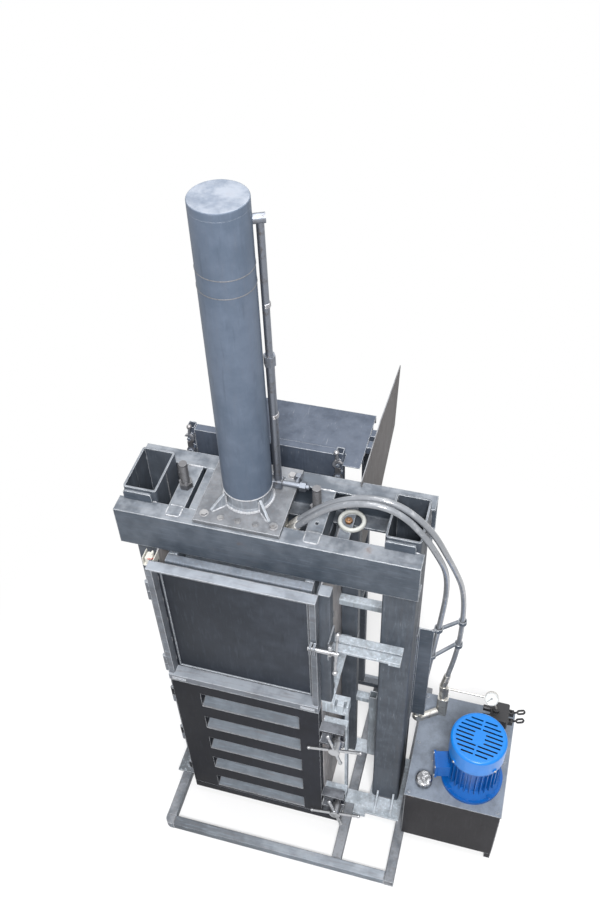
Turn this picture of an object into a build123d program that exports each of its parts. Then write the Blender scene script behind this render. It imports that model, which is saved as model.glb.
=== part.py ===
"""Vertical recycling baler: two-column press frame, chamber with two front doors, ram, feed
table and oil power pack. Millimetres, +Z up, +Y to the rear. Origin on the floor, on the
ram's axis."""
from build123d import *
from math import cos, pi, radians, sin, sqrt, tan
import os

# Common sheet, section and fit sizes
GAP = 0.5
RUN = 0.05
SHEET = 4.0

# Base frame of square tube
RAIL = 50.0
RAIL_WALL = 4.0
RAIL_ROUND = 6.0
RAIL_INSET_LEFT = 48.0
RAIL_INSET_RIGHT = 1.0
BASE_FRONT_Y = -531.5
BASE_REAR_Y = 600.0
CORNER_ROUND = 34.0

# Crosshead of two rolled channels and the two columns between them
BEAM_LEFT_X = -505.0
BEAM_LENGTH = 1227.0
BEAM_H = 200.0
BEAM_FLANGE = 75.0
BEAM_WEB_T = 7.0
BEAM_FLANGE_T = 11.0
BEAM_TOP = 2185.0
COLUMN_W = 139.0
COLUMN_D = 223.0
COLUMN_T = 8.0
COLUMN_ROUND = 12.0
COLUMN_RISE = 60.0
COLUMN_INSET_LEFT = 20.0
COLUMN_INSET_RIGHT = 15.0

# Bolts of the flange plate: four large at the corners, a row of small ones on each beam
BOLT_R = 8.0
ROW_BOLT_R = 5.0
ROW_BOLT_OFFSET = 6.0

# Bearers, studs, the lifting eye's bar and the clip plates of the crosshead
BEARER_LEFT = (-298.0, -232.0)
BEARER_RIGHT = (260.0, 326.0)
BEARER_T = 12.0
BEARER_H = 120.0
BEARER_WEB = 8.0
BEARER_SLOT_HALF = 6.0
CROSS_BAR = (-214.0, -176.0)
STUD_R = 17.0
STUD_X = (-265.0, 278.0)
STUD_RISE = 130.0
STUD_DROP = 70.0
NUT_AF = 50.0
NUT_H = 26.0
MEMBER = (364.0, 412.0)
MEMBER_DROP = 100.0
EYE_X = 404.5
EYE_R = 48.0
EYE_BAR_R = 9.0
EYE_SINK = 1.0
CLIP_HALF_W = 29.0
CLIP_INSET = 22.0
STOP_T = 10.0
STOP_INSET = 2.0
STOP_SHORT = 18.0

# Foot plates and bed strips
FOOT_T = 10.0
FOOT_LEFT_FRONT_Y = -240.5
FOOT_RIGHT_FRONT_Y = -218.5
FOOT_REAR_Y = 133.5
FOOT_SIDE = 12.0
FOOT_RIGHT_SIDE = 26.0
BED_STRIP_W = 75.0
BED_PAD_W = 180.0
FOOT_GUSSET_H = 62.0

# Press chamber
CHAMBER_HALF_W = 340.0
CHAMBER_FRONT_Y = -248.5
CHAMBER_REAR_Y = 244.5
WALL_T = 6.0
FLOOR_TOP = 120.0
FLOOR_T = 10.0
JOIST_COUNT = 4
JOIST_INSET = 60.0
SILL_BACK_H = 20.0
RIB_FIRST = 300.0
RIB_SPLIT_DROP = 120.0
RIB_TOP_DROP = 260.0
POST = 50.0
POST_WALL = 4.0
SPLIT_Z = 1173.0
SPLIT_RAIL_T = 12.0
SPLIT_RAIL_W = 56.0
REAR_POST_W = 78.0
REAR_POST_D = 50.0
LEG = 40.0

# Ties between the chamber and the right column
TIE_BAR_Z = 1515.0
TIE_BAR_T = 14.0
TIE_BAR_W = 38.0
TIE_BAR_GAP = 8.0
TIE_LOW_Z = 600.0

# Doors
DOOR_D = 48.0
DOOR_OVERLAP_LEFT = 18.0
DOOR_OVERLAP_RIGHT = 3.0
DOOR_SKIN_T = 4.0
UPPER_STILE_W = 26.0
UPPER_TOP_RAIL_H = 8.0
UPPER_BOTTOM_RAIL_H = 40.0
UPPER_BOTTOM_RAIL_OUT = 12.0
UPPER_LIP = 6.0
UPPER_LIP_INSET = 14.0
RAIL_SLOT_W = 60.0
RAIL_SLOT_D = 6.0
RAIL_SLOT_LOW = 12.0
RAIL_SLOT_HIGH = 14.0
RAIL_SLOT_END = 18.0
DOOR_SPLIT_GAP = 26.0
SILL_TOP = 106.0
LOWER_DOOR_LIFT = 6.0
SLOT_H = 112.0
SLOT_COUNT = 5
SLOT_FIRST_BOTTOM = 128.0
SLOT_PITCH = 208.0
SLOT_LEFT_X = -225.0
SLOT_RIGHT_X = 247.0
SHELF_T = 4.0
SHELF_RISE = 20.0
SHELF_INSET = 2.0

# Hinges of both doors
HINGE_R = 9.0
HINGE_SIDE = 0.5
HINGE_PIN_R = 5.0
HINGE_KNUCKLE = 60.0
HINGE_LEAF_T = 8.0
HINGE_LEAF_SIDE = 4.0
HINGE_LEAF_D = 34.0
HINGE_PLATE_T = 9.0

# Upper door latch and its keeper
LATCH_Z = 1695.0
LATCH_OUT = 15.0
LATCH_SHAFT_R = 10.0
LATCH_SHAFT_IN = 6.0
LATCH_SHAFT_END_X = 440.0
LATCH_LUG_T = 10.0
LATCH_LUG_HALF = 20.0
LATCH_LUG_OVER = 6.0
LATCH_HUB_R = 17.0
LATCH_LEVER_X = 430.0
LATCH_LEVER_R = 6.5
LATCH_LEVER_HALF = 104.0
LATCH_BALL_R = 12.0
LATCH_TILT = 14.0
HOOK_IN_R = 34.0
HOOK_OUT_R = 46.0
HOOK_W = 12.0
HOOK_SPAN = 58.0
HOOK_START = 42.0
HOOK_ARM_HALF = 7.0
HOOK_OFF = 9.0
KEEPER_PIN_R = 6.0
KEEPER_PIN_GAP = 2.0
KEEPER_PIN_OUT = 17.0
KEEPER_ANGLE = -12.0
KEEPER_T = 6.0
KEEPER_FRONT = 16.0
KEEPER_BELOW = 75.0
KEEPER_ABOVE = 35.0
KEEPER_ROOM = 8.0

# Door clamps with capstan screws
CLAMP_X = 425.0
CLAMP_UPPER_Z = 935.0
CLAMP_LOWER_Z = 260.0
CLAMP_TRAVEL = 24.0
CLAMP_SCREW_R = 14.0
CLAMP_TIP_GAP = 2.0
CLAMP_HUB_R = 27.0
CLAMP_HUB_L = 56.0
CLAMP_HUB_CHAMFER = 3.0
CLAMP_TIP_CHAMFER = 2.0
CLAMP_HEAD_SHARE = 0.27
CLAMP_GUIDE_Y = 26.0
CLAMP_GUIDE_T = 12.0
CLAMP_SPOKE_R = 7.5
CLAMP_SPOKE_L = 124.0
CLAMP_SPOKE_REACH = (1.0, 0.96, 1.0, 0.94)
CLAMP_SPOKE_TURN = 14.0
CLAMP_EAR_T = 12.0
CLAMP_EAR_HALF = 50.0
CLAMP_BLOCK_HALF = 30.0
COLLAR_R = 22.0
COLLAR_T = 8.0
ANCHOR_D = 46.0
ANCHOR_HALF = 34.0
CATCH_X = (401.0, 465.0)
CATCH_TOP_DROP = 8.0
CATCH_H = 80.0
CATCH_SLOT_W = 12.0
CATCH_SLOT_BACK = 14.0
STRIP_X = (440.0, 452.0)
STRIP_D = 34.0

# Ram, platen and cylinder
BARREL_R = 97.0
BARREL_BORE_R = 80.0
BARREL_BOTTOM = 2275.0
BARREL_LENGTH = 1230.0
BARREL_CAP_T = 30.0
BARREL_CAP_ROUND = 5.0
ROD_R = 45.0
ROD_HOLE_R = 52.0
PISTON_H = 60.0
PISTON_TOP_GAP = 5.0
PLATE_SIZE = 350.0
PLATE_T = 20.0
NECK_R = 90.0
NECK_WELD_R = 98.0
NECK_WELD_H = 12.0
NECK_SPIGOT_R = 50.0
GUSSET_T = 10.0
GUSSET_GAP = 1.5
GUSSET_DROP = 8.0
GUSSET_TIP_H = 7.0
PLATEN_T = 16.0
PLATEN_SIDE_GAP = 8.0
PLATEN_FRAME_H = 100.0
PLATEN_TOP = 1956.0
PLATEN_BAR_W = 40.0
PLATEN_BAR_INSET = 24.0
PLATEN_BOSS_T = 22.0
PLATEN_RIB_HALF = 8.0
SHOE_T = 7.5
SHOE_INSET = 60.0
SHOE_L = 80.0

# Return pipe beside the barrel and the fittings at its foot
PIPE_R = 13.0
PIPE_LOW_R = 16.0
PIPE_GAP = 6.0
PIPE_JOINT_Z = 2860.0
PIPE_AT = 24.0
PIPE_LINK_DROP = 60.0
PIPE_UNION_H = 44.0
PIPE_ELBOW_ROUND = 4.0
FITTING_L = 69.0
FITTING_R = 12.0
FITTING_AF = 36.0
FITTING_NUT_L = 24.0
PLUG_R = 11.0
PLUG_L = 12.0
TEE_R = 9.0
TEE_L = 30.0
TEE_AF = 30.0
TEE_NUT_L = 22.0

# Rear panel, feed table and wing plate
PANEL_TOP = 2255.0
PANEL_LEFT_X = -311.0
PANEL_RIGHT_X = 290.0
PANEL_RIM = 35.0
PANEL_POST_W = 32.0
PANEL_POST_RISE = 10.0
PANEL_POST_WALL = 3.0
PANEL_POST_ROUND = 4.0
TABLE_Z = 2215.0
TABLE_SKIRT = 40.0
TABLE_LEFT_X = -229.0
TABLE_RIGHT_X = 394.0
TABLE_FRONT_Y = 293.5
TABLE_REAR_Y = 541.0
TABLE_SIDE_Y = 229.0
TABLE_LEG_INSET = 10.0
TABLE_BRACKET_FRONT = 60.0
TABLE_BRACKET_REAR = 120.0
TABLE_BRACKET_IN = 9.0
WING_X = 415.0
WING_T = 4.0
WING_OUTLINE = [(158.5, 2216.0), (513.5, 2216.0), (951.5, 2155.0), (876.5, 1845.0), (603.5, 1717.0)]
WING_BEAM_GAP = 4.0
WING_REST_GAP = 2.0
LEG_BEAM_RISE = 40.0

# Hooks on the posts of the rear panel
HOOK_PIN_R = 8.0
HOOK_PIN_OUT = 6.0
HOOK_PLATE_OFF = 20.0
HOOK_PLATE_T = 8.0
HOOK_Z = 2225.0
HOOK_ARM = 70.0
HOOK_ARM_W = 22.0
HOOK_EYE_R = 18.0
HOOK_HEAD_R = 22.0
HOOK_MOUTH_GAP = 1.5
HOOK_LIP_DROP = 10.0
HOOK_GRIP_R = 6.0
HOOK_GRIP_L = 41.0
HOOK_GRIP_LEAN = 6.0
HOOK_GRIP_SINK = 1.0
HOOK_KNOB_OVER = 4.0
HOOK_KNOB_R = 11.0
HOOK_PIVOT_HEAD = 8.0
HOOK_PIVOT_HEAD_R = 14.0
HOOK_BOSS_R = 15.0

# Limit switch on the left post
SWITCH_DROP = 46.0
SWITCH_SHEET = 3.0
SWITCH_SIDE = 6.0
SWITCH_ARM_SIDE = 10.0
SWITCH_PIN_R = 3.0
SWITCH_PIN_L = 7.0
SWITCH_PIVOT_DROP = 16.0
SWITCH_ARM_L = 34.0
SWITCH_ARM_HALF = 4.0
SWITCH_ARM_T = 3.5
SWITCH_ROLLER_R = 8.0
SWITCH_ROLLER_W = 6.0

# Oil tank with its lid, legs and filler
TANK_GAP_X = 36.0
TANK_W = 461.0
TANK_FRONT_Y = -264.5
TANK_D = 563.0
TANK_BOTTOM = 50.0
TANK_H = 444.0
TANK_LEG_W = 30.0
LID_T = 6.0
LID_OVER = 5.0
LID_SCREW_AF = 13.0
LID_SCREW_H = 5.0
LID_SCREW_INSET = 16.0
BREATHER_IN_X = 76.0
BREATHER_IN_Y = 79.0
BREATHER_R = 41.0
BREATHER_H = 40.0
BREATHER_NECK_H = 10.0
BREATHER_ROUND = 9.0
BREATHER_RIBS = 24
BREATHER_RIB_R = 2.2

# Motor, fan and pump
MOTOR_IN_X = 296.0
MOTOR_IN_Y = 174.0
MOTOR_FLANGE_R = 150.0
MOTOR_FLANGE_T = 18.0
MOTOR_FLANGE_BOLT_IN = 14.0
MOTOR_FLANGE_BOLT_AF = 19.0
MOTOR_FLANGE_BOLT_H = 10.0
MOTOR_BODY_R = 108.0
MOTOR_BELL_OVER = 8.0
MOTOR_FIN_R = 128.0
MOTOR_FIN_COUNT = 32
MOTOR_FIN_T = 4.0
MOTOR_FIN_END = 6.0
MOTOR_FIN_ROOT = 3.0
MOTOR_BODY_RISE = 56.0
MOTOR_BODY_H = 214.0
END_SHIELD_T = 8.0
COVER_R = 132.0
COVER_H = 115.0
COVER_T = 2.5
COVER_ROUND = 12.0
COVER_LUG_HALF = 10.0
COVER_LUG_OUT = 4.0
COVER_LUG_LOW = 8.0
COVER_LUG_H = 18.0
GRILLE_AT = -8.0
GRILLE_ROWS = 9
GRILLE_PITCH = 22.0
GRILLE_SLOT_HALF = 4.0
GRILLE_RIM = 24.0
GRILLE_HUB = 26.0
GRILLE_HUB_REACH = 30.0
GRILLE_BRIDGE = 5.0
FAN_R = 108.0
FAN_RISE = 22.0
FAN_HUB_R = 30.0
FAN_HUB_H = 40.0
FAN_DISC_IN_R = 25.0
FAN_DISC_T = 4.0
FAN_BLADES = 7
FAN_BLADE_HALF = 2.0
SHAFT_R = 14.0
SHAFT_OVER = 6.0
SHAFT_CLEAR = 10.0
TERMINAL_AT = 194.0
TERMINAL_RISE = 74.0
TERMINAL_OUT = 52.0
TERMINAL_HALF_W = 42.0
TERMINAL_H = 92.0
TERMINAL_LID = 4.0
TERMINAL_LID_T = 10.0
TERMINAL_ROUND = 6.0
PUMP_HOLE_R = 70.0
PUMP_DROP = 74.0
PUMP_FLOOR_T = 4.0
PUMP_HALF_W = 50.0
PUMP_HALF_D = 45.0
PUMP_H = 110.0
STRAINER_R = 32.0
STRAINER_LIFT = 30.0

# Valve with its levers, and the gauge
VALVE_IN_X = 382.0
VALVE_IN_Y = 478.0
VALVE_RISE = 60.0
VALVE_HALF_W = 45.0
VALVE_HALF_D = 52.0
VALVE_H = 70.0
VALVE_CHAMFER = 6.0
VALVE_FOOT = (40.0, 45.0, 8.0)
VALVE_STEM = (12.0, 30.0)
VALVE_SPOOLS = (-24.0, 24.0)
SPOOL_Z = 35.0
SPOOL_R = 15.0
SPOOL_L = 38.0
SPOOL_OUT_R = 12.0
PORT_R = 18.0
PORT_H = 22.0
PORT_OFF = 20.0
LEVER_PIVOT_X = 62.0
LEVER_PIVOT_Z = 42.0
LEVER_PIVOT_R = 8.0
LEVER_PIN_R = 4.0
LEVER_HALF_W = 7.0
LEVER_ROD_R = 5.0
LEVER_TIP = 122.0
LEVER_TIP_Z = 78.0
LEVER_LOOP_W = 26.0
LEVER_LOOP_BAR = 7.0
LEVER_LOOP_HALF_T = 4.0
LEVER_NEAR = 0.34
FORK_T = 3.0
FORK_OFF = 8.0
FORK_Z = (20.0, 52.0)
GAUGE_IN_X = 329.0
GAUGE_IN_Y = 464.5
GAUGE_RISE = 252.0
GAUGE_TILT = 46.0
GAUGE_R = 34.0
GAUGE_CASE_D = 26.0
GAUGE_RIM = 3.0
GAUGE_FACE_DEEP = 7.0
GAUGE_POST_R = 1.6
GAUGE_POST_L = 5.0
GAUGE_STEM_R = 6.0
GAUGE_STEM_OFF = (6.0, 16.0, 4.0)
NEEDLE_T = 1.2
NEEDLE_W = 3.0
NEEDLE_SHARE = 0.72
NEEDLE_HUB_R = 5.0
NEEDLE_START = 135.0

# Hoses. Their routes are listed in two stretches. Over the beams, X is from the plate's edge
# and Z from the beams' top. Down the side, X is from the beams' end and Z from the tank's lid.
HOSE_R = 12.5
HOSE_SPAN = 547.0
HOSE_DROP = 1685.0
HOSE_OUTER_OVER = [(21.0, -69.5, -27.0), (58.0, -71.0, 24.0), (138.0, -75.0, 117.0),
                   (234.0, -75.0, 189.0), (345.0, -75.0, 223.0), (437.0, -75.0, 207.0),
                   (514.0, -75.0, 149.0)]
HOSE_OUTER_DOWN = [(28.0, -58.0, 1736.0), (73.0, -20.0, 1590.0), (113.0, 40.0, 1420.0),
                   (146.0, 110.0, 1235.0), (162.0, 165.0, 1040.0), (168.0, 190.0, 850.0),
                   (166.0, 212.0, 670.0), (156.0, 216.0, 520.0), (142.0, 216.0, 400.0),
                   (130.0, 214.0, 310.0)]
HOSE_INNER_OVER = [(21.0, -97.0, -34.0), (57.0, -98.5, 17.0), (158.0, -102.0, 137.0),
                   (253.0, -104.0, 201.0), (364.0, -104.0, 223.0), (458.0, -102.0, 185.0),
                   (538.0, -96.0, 85.0)]
HOSE_INNER_DOWN = [(46.0, -60.0, 1622.0), (78.0, 0.0, 1460.0), (86.0, 50.0, 1300.0),
                   (84.0, 95.0, 1140.0), (75.0, 120.0, 960.0), (64.0, 128.0, 790.0),
                   (53.0, 125.0, 630.0), (42.0, 118.0, 480.0), (33.0, 115.0, 350.0),
                   (23.0, 115.0, 240.0), (16.0, 115.0, 150.0)]
PORT_NIPPLE_L = 44.0
PORT_LENGTH = 48.0
PORT_HALF_D = 28.0
PORT_BELOW = 24.0

# Pipe block behind the motor, its elbow and the thin pipe to the gauge
MANIFOLD_IN_X = 68.0
MANIFOLD_W = 54.0
MANIFOLD_IN_Y = 454.5
MANIFOLD_D = 48.0
MANIFOLD_H = 150.0
MANIFOLD_CHAMFER = 8.0
FERRULE_T = 5.0
FERRULE_OUTER_L = 60.0
FERRULE_INNER_L = 46.0
NECK_T = 8.0
NECK_DROP = 20.0
NECK_LAP = 10.0
ELBOW_R = 20.0
ELBOW_BEND = 60.0
ELBOW_REACH = 70.0
ELBOW_LAP = 6.0
THIN_PIPE_R = 5.0
THIN_STEM_R = 9.0
THIN_STEM_IN = 14.0
THIN_STEM_OVER = 1.0

# Angle with two arms that carry the hoses beside the right column
BRACKET_W = 70.0
BRACKET_BACK = 24.0
BRACKET_SIDE_D = 40.0
BRACKET_Z = (650.0, 1400.0)
BRACKET_T = 5.0
CLIP_LEVELS = (1372.0, 1148.0)
CLIP_ARM_R = 9.0
CLIP_WALL = 7.0
CLIP_GAP = 2.5
CLIP_HALF_H = 12.0

# Values that follow from the ones above
BEAM_BOTTOM = BEAM_TOP - BEAM_H
BEAM_RIGHT_X = BEAM_LEFT_X + BEAM_LENGTH
COL_HALF_D = COLUMN_D / 2
BEAM_FRONT_Y = -COL_HALF_D - BEAM_FLANGE
BEAM_REAR_Y = COL_HALF_D + BEAM_FLANGE
COL_LEFT = (BEAM_LEFT_X + COLUMN_INSET_LEFT, BEAM_LEFT_X + COLUMN_INSET_LEFT + COLUMN_W)
COL_RIGHT = (BEAM_RIGHT_X - COLUMN_INSET_RIGHT - COLUMN_W, BEAM_RIGHT_X - COLUMN_INSET_RIGHT)
RAIL_LEFT_X = BEAM_LEFT_X + RAIL_INSET_LEFT
RAIL_MID_X = CHAMBER_HALF_W + POST + RAIL
RAIL_RIGHT_X = BEAM_RIGHT_X - RAIL_INSET_RIGHT
FOOT_TOP = RAIL + FOOT_T
WALL_OUT_X = CHAMBER_HALF_W + WALL_T
DOOR_FRONT_Y = CHAMBER_FRONT_Y - DOOR_D
DOOR_LEFT_X = -CHAMBER_HALF_W - DOOR_OVERLAP_LEFT
DOOR_RIGHT_X = CHAMBER_HALF_W + DOOR_OVERLAP_RIGHT
SPLIT_TOP = SPLIT_Z + SPLIT_RAIL_T
UPPER_DOOR_BOTTOM = SPLIT_Z
LOWER_DOOR_TOP = UPPER_DOOR_BOTTOM - DOOR_SPLIT_GAP
LOWER_DOOR_BOTTOM = SILL_TOP + LOWER_DOOR_LIFT
PLATE_TOP = BEAM_TOP + PLATE_T
PLATE_HALF = PLATE_SIZE / 2
BARREL_TOP = BARREL_BOTTOM + BARREL_LENGTH
HINGE_X = DOOR_LEFT_X - HINGE_R - HINGE_SIDE
HINGE_Y = DOOR_FRONT_Y + HINGE_R
PLATEN_HALF_W = CHAMBER_HALF_W - PLATEN_SIDE_GAP
PLATEN_BOTTOM = PLATEN_TOP - PLATEN_FRAME_H - PLATEN_T
TANK_LEFT_X = BEAM_RIGHT_X + TANK_GAP_X
TANK_TOP = TANK_BOTTOM + TANK_H
LID_TOP = TANK_TOP + LID_T
BREATHER_X = TANK_LEFT_X + BREATHER_IN_X
BREATHER_Y = TANK_FRONT_Y + BREATHER_IN_Y
MOTOR_X = TANK_LEFT_X + MOTOR_IN_X
MOTOR_Y = TANK_FRONT_Y + MOTOR_IN_Y
MOTOR_BODY_BOTTOM = LID_TOP + MOTOR_BODY_RISE
MOTOR_BODY_TOP = MOTOR_BODY_BOTTOM + MOTOR_BODY_H
TERMINAL_Z = LID_TOP + TERMINAL_RISE
VALVE_X = TANK_LEFT_X + VALVE_IN_X
VALVE_Y = TANK_FRONT_Y + VALVE_IN_Y
VALVE_Z = LID_TOP + VALVE_RISE
GAUGE_X = TANK_LEFT_X + GAUGE_IN_X
GAUGE_Y = TANK_FRONT_Y + GAUGE_IN_Y
GAUGE_Z = LID_TOP + GAUGE_RISE
MANIFOLD_X = (TANK_LEFT_X + MANIFOLD_IN_X, TANK_LEFT_X + MANIFOLD_IN_X + MANIFOLD_W)
MANIFOLD_Y = (TANK_FRONT_Y + MANIFOLD_IN_Y, TANK_FRONT_Y + MANIFOLD_IN_Y + MANIFOLD_D)
BRACKET_X = (COL_RIGHT[1], COL_RIGHT[1] + BRACKET_W)


def block(x, y, z):
    """Box between three pairs of limits."""
    size = Box(x[1] - x[0], y[1] - y[0], z[1] - z[0])
    return Pos((x[0] + x[1]) / 2, (y[0] + y[1]) / 2, (z[0] + z[1]) / 2) * size


def rod(start, axis, radius, length):
    """Round bar from a point along +X, +Y or +Z."""
    turn = {"x": Rot(0, 90, 0), "y": Rot(-90, 0, 0), "z": Rot(0, 0, 0)}[axis]
    bar = Cylinder(radius, length, align=(Align.CENTER, Align.CENTER, Align.MIN))
    return Pos(*start) * (turn * bar)


def ring(start, axis, outer, inner, length):
    """Round tube from a point along +X, +Y or +Z."""
    return rod(start, axis, outer, length) - rod(start, axis, inner, length)


def bar_between(start, end, radius):
    """Round bar between two points."""
    line = Vector(*end) - Vector(*start)
    plane = Plane(origin=start, z_dir=line)
    return extrude(plane * Circle(radius), line.length)


def square_tube(x, y, z, along, wall=RAIL_WALL, rounding=RAIL_ROUND):
    """Hollow square section between limits, open at both ends along one axis."""
    axis = {"x": Axis.X, "y": Axis.Y, "z": Axis.Z}[along]
    outer = block(x, y, z)
    outer = fillet(outer.edges().filter_by(axis), rounding)
    spans = {"x": x, "y": y, "z": z}
    inner = {k: (s if k == along else (s[0] + wall, s[1] - wall)) for k, s in spans.items()}
    return outer - block(inner["x"], inner["y"], inner["z"])


def hexagon(start, axis, flats, length, bore=0.0):
    """Hexagonal prism from a point along an axis, with an optional bore."""
    turn = {"x": Rot(0, 90, 0), "y": Rot(-90, 0, 0), "z": Rot(0, 0, 0)}[axis]
    prism = extrude(RegularPolygon(flats / sqrt(3), 6), length)
    prism = Pos(*start) * (turn * prism)
    return prism - rod(start, axis, bore, length) if bore else prism


def prism(points, plane, depth):
    """Polygon in a plane, given by its corners, made solid by a depth along its normal."""
    return extrude(plane * make_face(Polyline(*points, close=True)), depth)


def yz_plate(points, x, thickness):
    """Flat plate standing in a plane across X, from (y, z) corners."""
    return prism(points, Plane(origin=(x, 0, 0), x_dir=(0, 1, 0), z_dir=(1, 0, 0)), thickness)


def joined(solids):
    """Separate solids kept as one piece set."""
    parts = []
    for solid in solids:
        parts.extend(solid.solids())
    return Compound(children=parts)


def base():
    """Rails on the floor, foot plates and the strips below the chamber."""
    z = (0, RAIL)
    left = (RAIL_LEFT_X, RAIL_LEFT_X + RAIL)
    right = (RAIL_RIGHT_X, RAIL_RIGHT_X + RAIL)
    mid = (RAIL_MID_X, RAIL_MID_X + RAIL)
    front_in = BASE_FRONT_Y + RAIL
    rear_in = BASE_REAR_Y - RAIL
    corner = block(left, (BASE_FRONT_Y, front_in), z)
    outer_edge = corner.edges().filter_by(Axis.Z).sort_by_distance((left[0], BASE_FRONT_Y, 0))[0]
    corner = fillet(outer_edge, CORNER_ROUND)
    sides = [
        corner,
        square_tube(left, (front_in, BASE_REAR_Y), z, "y"),
        square_tube(mid, (front_in, rear_in), z, "y"),
        square_tube(right, (BASE_FRONT_Y, BASE_REAR_Y), z, "y"),
    ]
    ends = [
        square_tube((left[1], right[0]), (BASE_FRONT_Y, front_in), z, "x"),
        square_tube((left[1], right[0]), (rear_in, BASE_REAR_Y), z, "x"),
    ]

    plate_z = (RAIL, FOOT_TOP)
    left_x = (COL_LEFT[0], COL_LEFT[1] + FOOT_SIDE)
    right_x = (COL_RIGHT[0] - FOOT_SIDE, COL_RIGHT[1] + FOOT_RIGHT_SIDE)
    feet = [
        block(left_x, (FOOT_LEFT_FRONT_Y, FOOT_REAR_Y), plate_z),
        block(right_x, (FOOT_RIGHT_FRONT_Y, FOOT_REAR_Y), plate_z),
    ]
    for side in (-1, 1):
        outer = side * (COL_HALF_D + BED_STRIP_W)
        inner = side * COL_HALF_D
        strip_y = (min(outer, inner), max(outer, inner))
        feet.append(block((left_x[1], right_x[0]), strip_y, plate_z))
    tie_x = (mid[1] + GAP, right_x[0])
    tie_y = (FOOT_RIGHT_FRONT_Y - FOOT_SIDE, BEAM_FRONT_Y)
    feet.append(block(tie_x, tie_y, (RAIL - LEG / 2, FOOT_TOP)))
    pad = (-BED_PAD_W / 2, BED_PAD_W / 2)
    feet.append(block(pad, pad, (0, FOOT_TOP)))
    for x in (COL_RIGHT[0] + COLUMN_W / 5, COL_RIGHT[1] - COLUMN_W / 5):
        front = FOOT_RIGHT_FRONT_Y + FOOT_SIDE
        corners = [(-COL_HALF_D, FOOT_TOP), (-COL_HALF_D, FOOT_TOP + FOOT_GUSSET_H), (front, FOOT_TOP)]
        feet.append(yz_plate(corners, x, FOOT_T))
    return {"base_rails_side": sides, "base_rails_end": ends, "foot_plates": feet}


def column(span):
    """Column of two folded channels, toe to toe."""
    z = (FOOT_TOP, BEAM_TOP + COLUMN_RISE)
    halves = []
    for side in (-1, 1):
        y = sorted((side * COL_HALF_D, 0))
        half = block(span, y, z)
        outer = [e for e in half.edges().filter_by(Axis.Z) if abs(e.center().Y) > COL_HALF_D / 2]
        half = fillet(outer, COLUMN_ROUND)
        hollow_y = sorted((side * (COL_HALF_D - COLUMN_T), 0))
        hollow = block((span[0] + COLUMN_T, span[1] - COLUMN_T), hollow_y, z)
        halves.append(half - hollow)
    return halves


def bolt_places():
    """Corner bolts and front and rear rows of the flange plate."""
    reach = COL_HALF_D + BEAM_FLANGE * 0.32
    corners = [(sx * PLATE_SIZE * 0.4, sy * reach) for sx in (-1, 1) for sy in (-1, 1)]
    row_y = reach + ROW_BOLT_OFFSET
    rows = [(x * PLATE_SIZE * 0.2, sy * row_y) for x in (-1, 0, 1) for sy in (-1, 1)]
    return corners, rows


def crosshead():
    """Two channels, webs outward, bolted below the flange plate."""
    corners, rows = bolt_places()
    beams = []
    for side in (-1, 1):
        y = sorted((side * COL_HALF_D, side * (COL_HALF_D + BEAM_FLANGE)))
        beam = block((BEAM_LEFT_X, BEAM_RIGHT_X), y, (BEAM_BOTTOM, BEAM_TOP))
        inner = sorted((side * COL_HALF_D, side * (COL_HALF_D + BEAM_FLANGE - BEAM_WEB_T)))
        hollow_z = (BEAM_BOTTOM + BEAM_FLANGE_T, BEAM_TOP - BEAM_FLANGE_T)
        hollow = block((BEAM_LEFT_X, BEAM_RIGHT_X), inner, hollow_z)
        near_web = COL_HALF_D + BEAM_FLANGE / 2
        deep = [e for e in hollow.edges().filter_by(Axis.X) if abs(e.center().Y) > near_web]
        beam -= fillet(deep, BEAM_FLANGE_T * 0.8)
        for radius, places in ((BOLT_R, corners), (ROW_BOLT_R, rows)):
            for x, by in places:
                if by * side > 0:
                    start = (x, by, BEAM_TOP - BEAM_FLANGE_T - 1)
                    beam -= rod(start, "z", radius + RUN, BEAM_FLANGE_T + 2)
        beams.append(beam)
    return {"beam_front": [beams[0]], "beam_rear": [beams[1]]}


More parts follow.
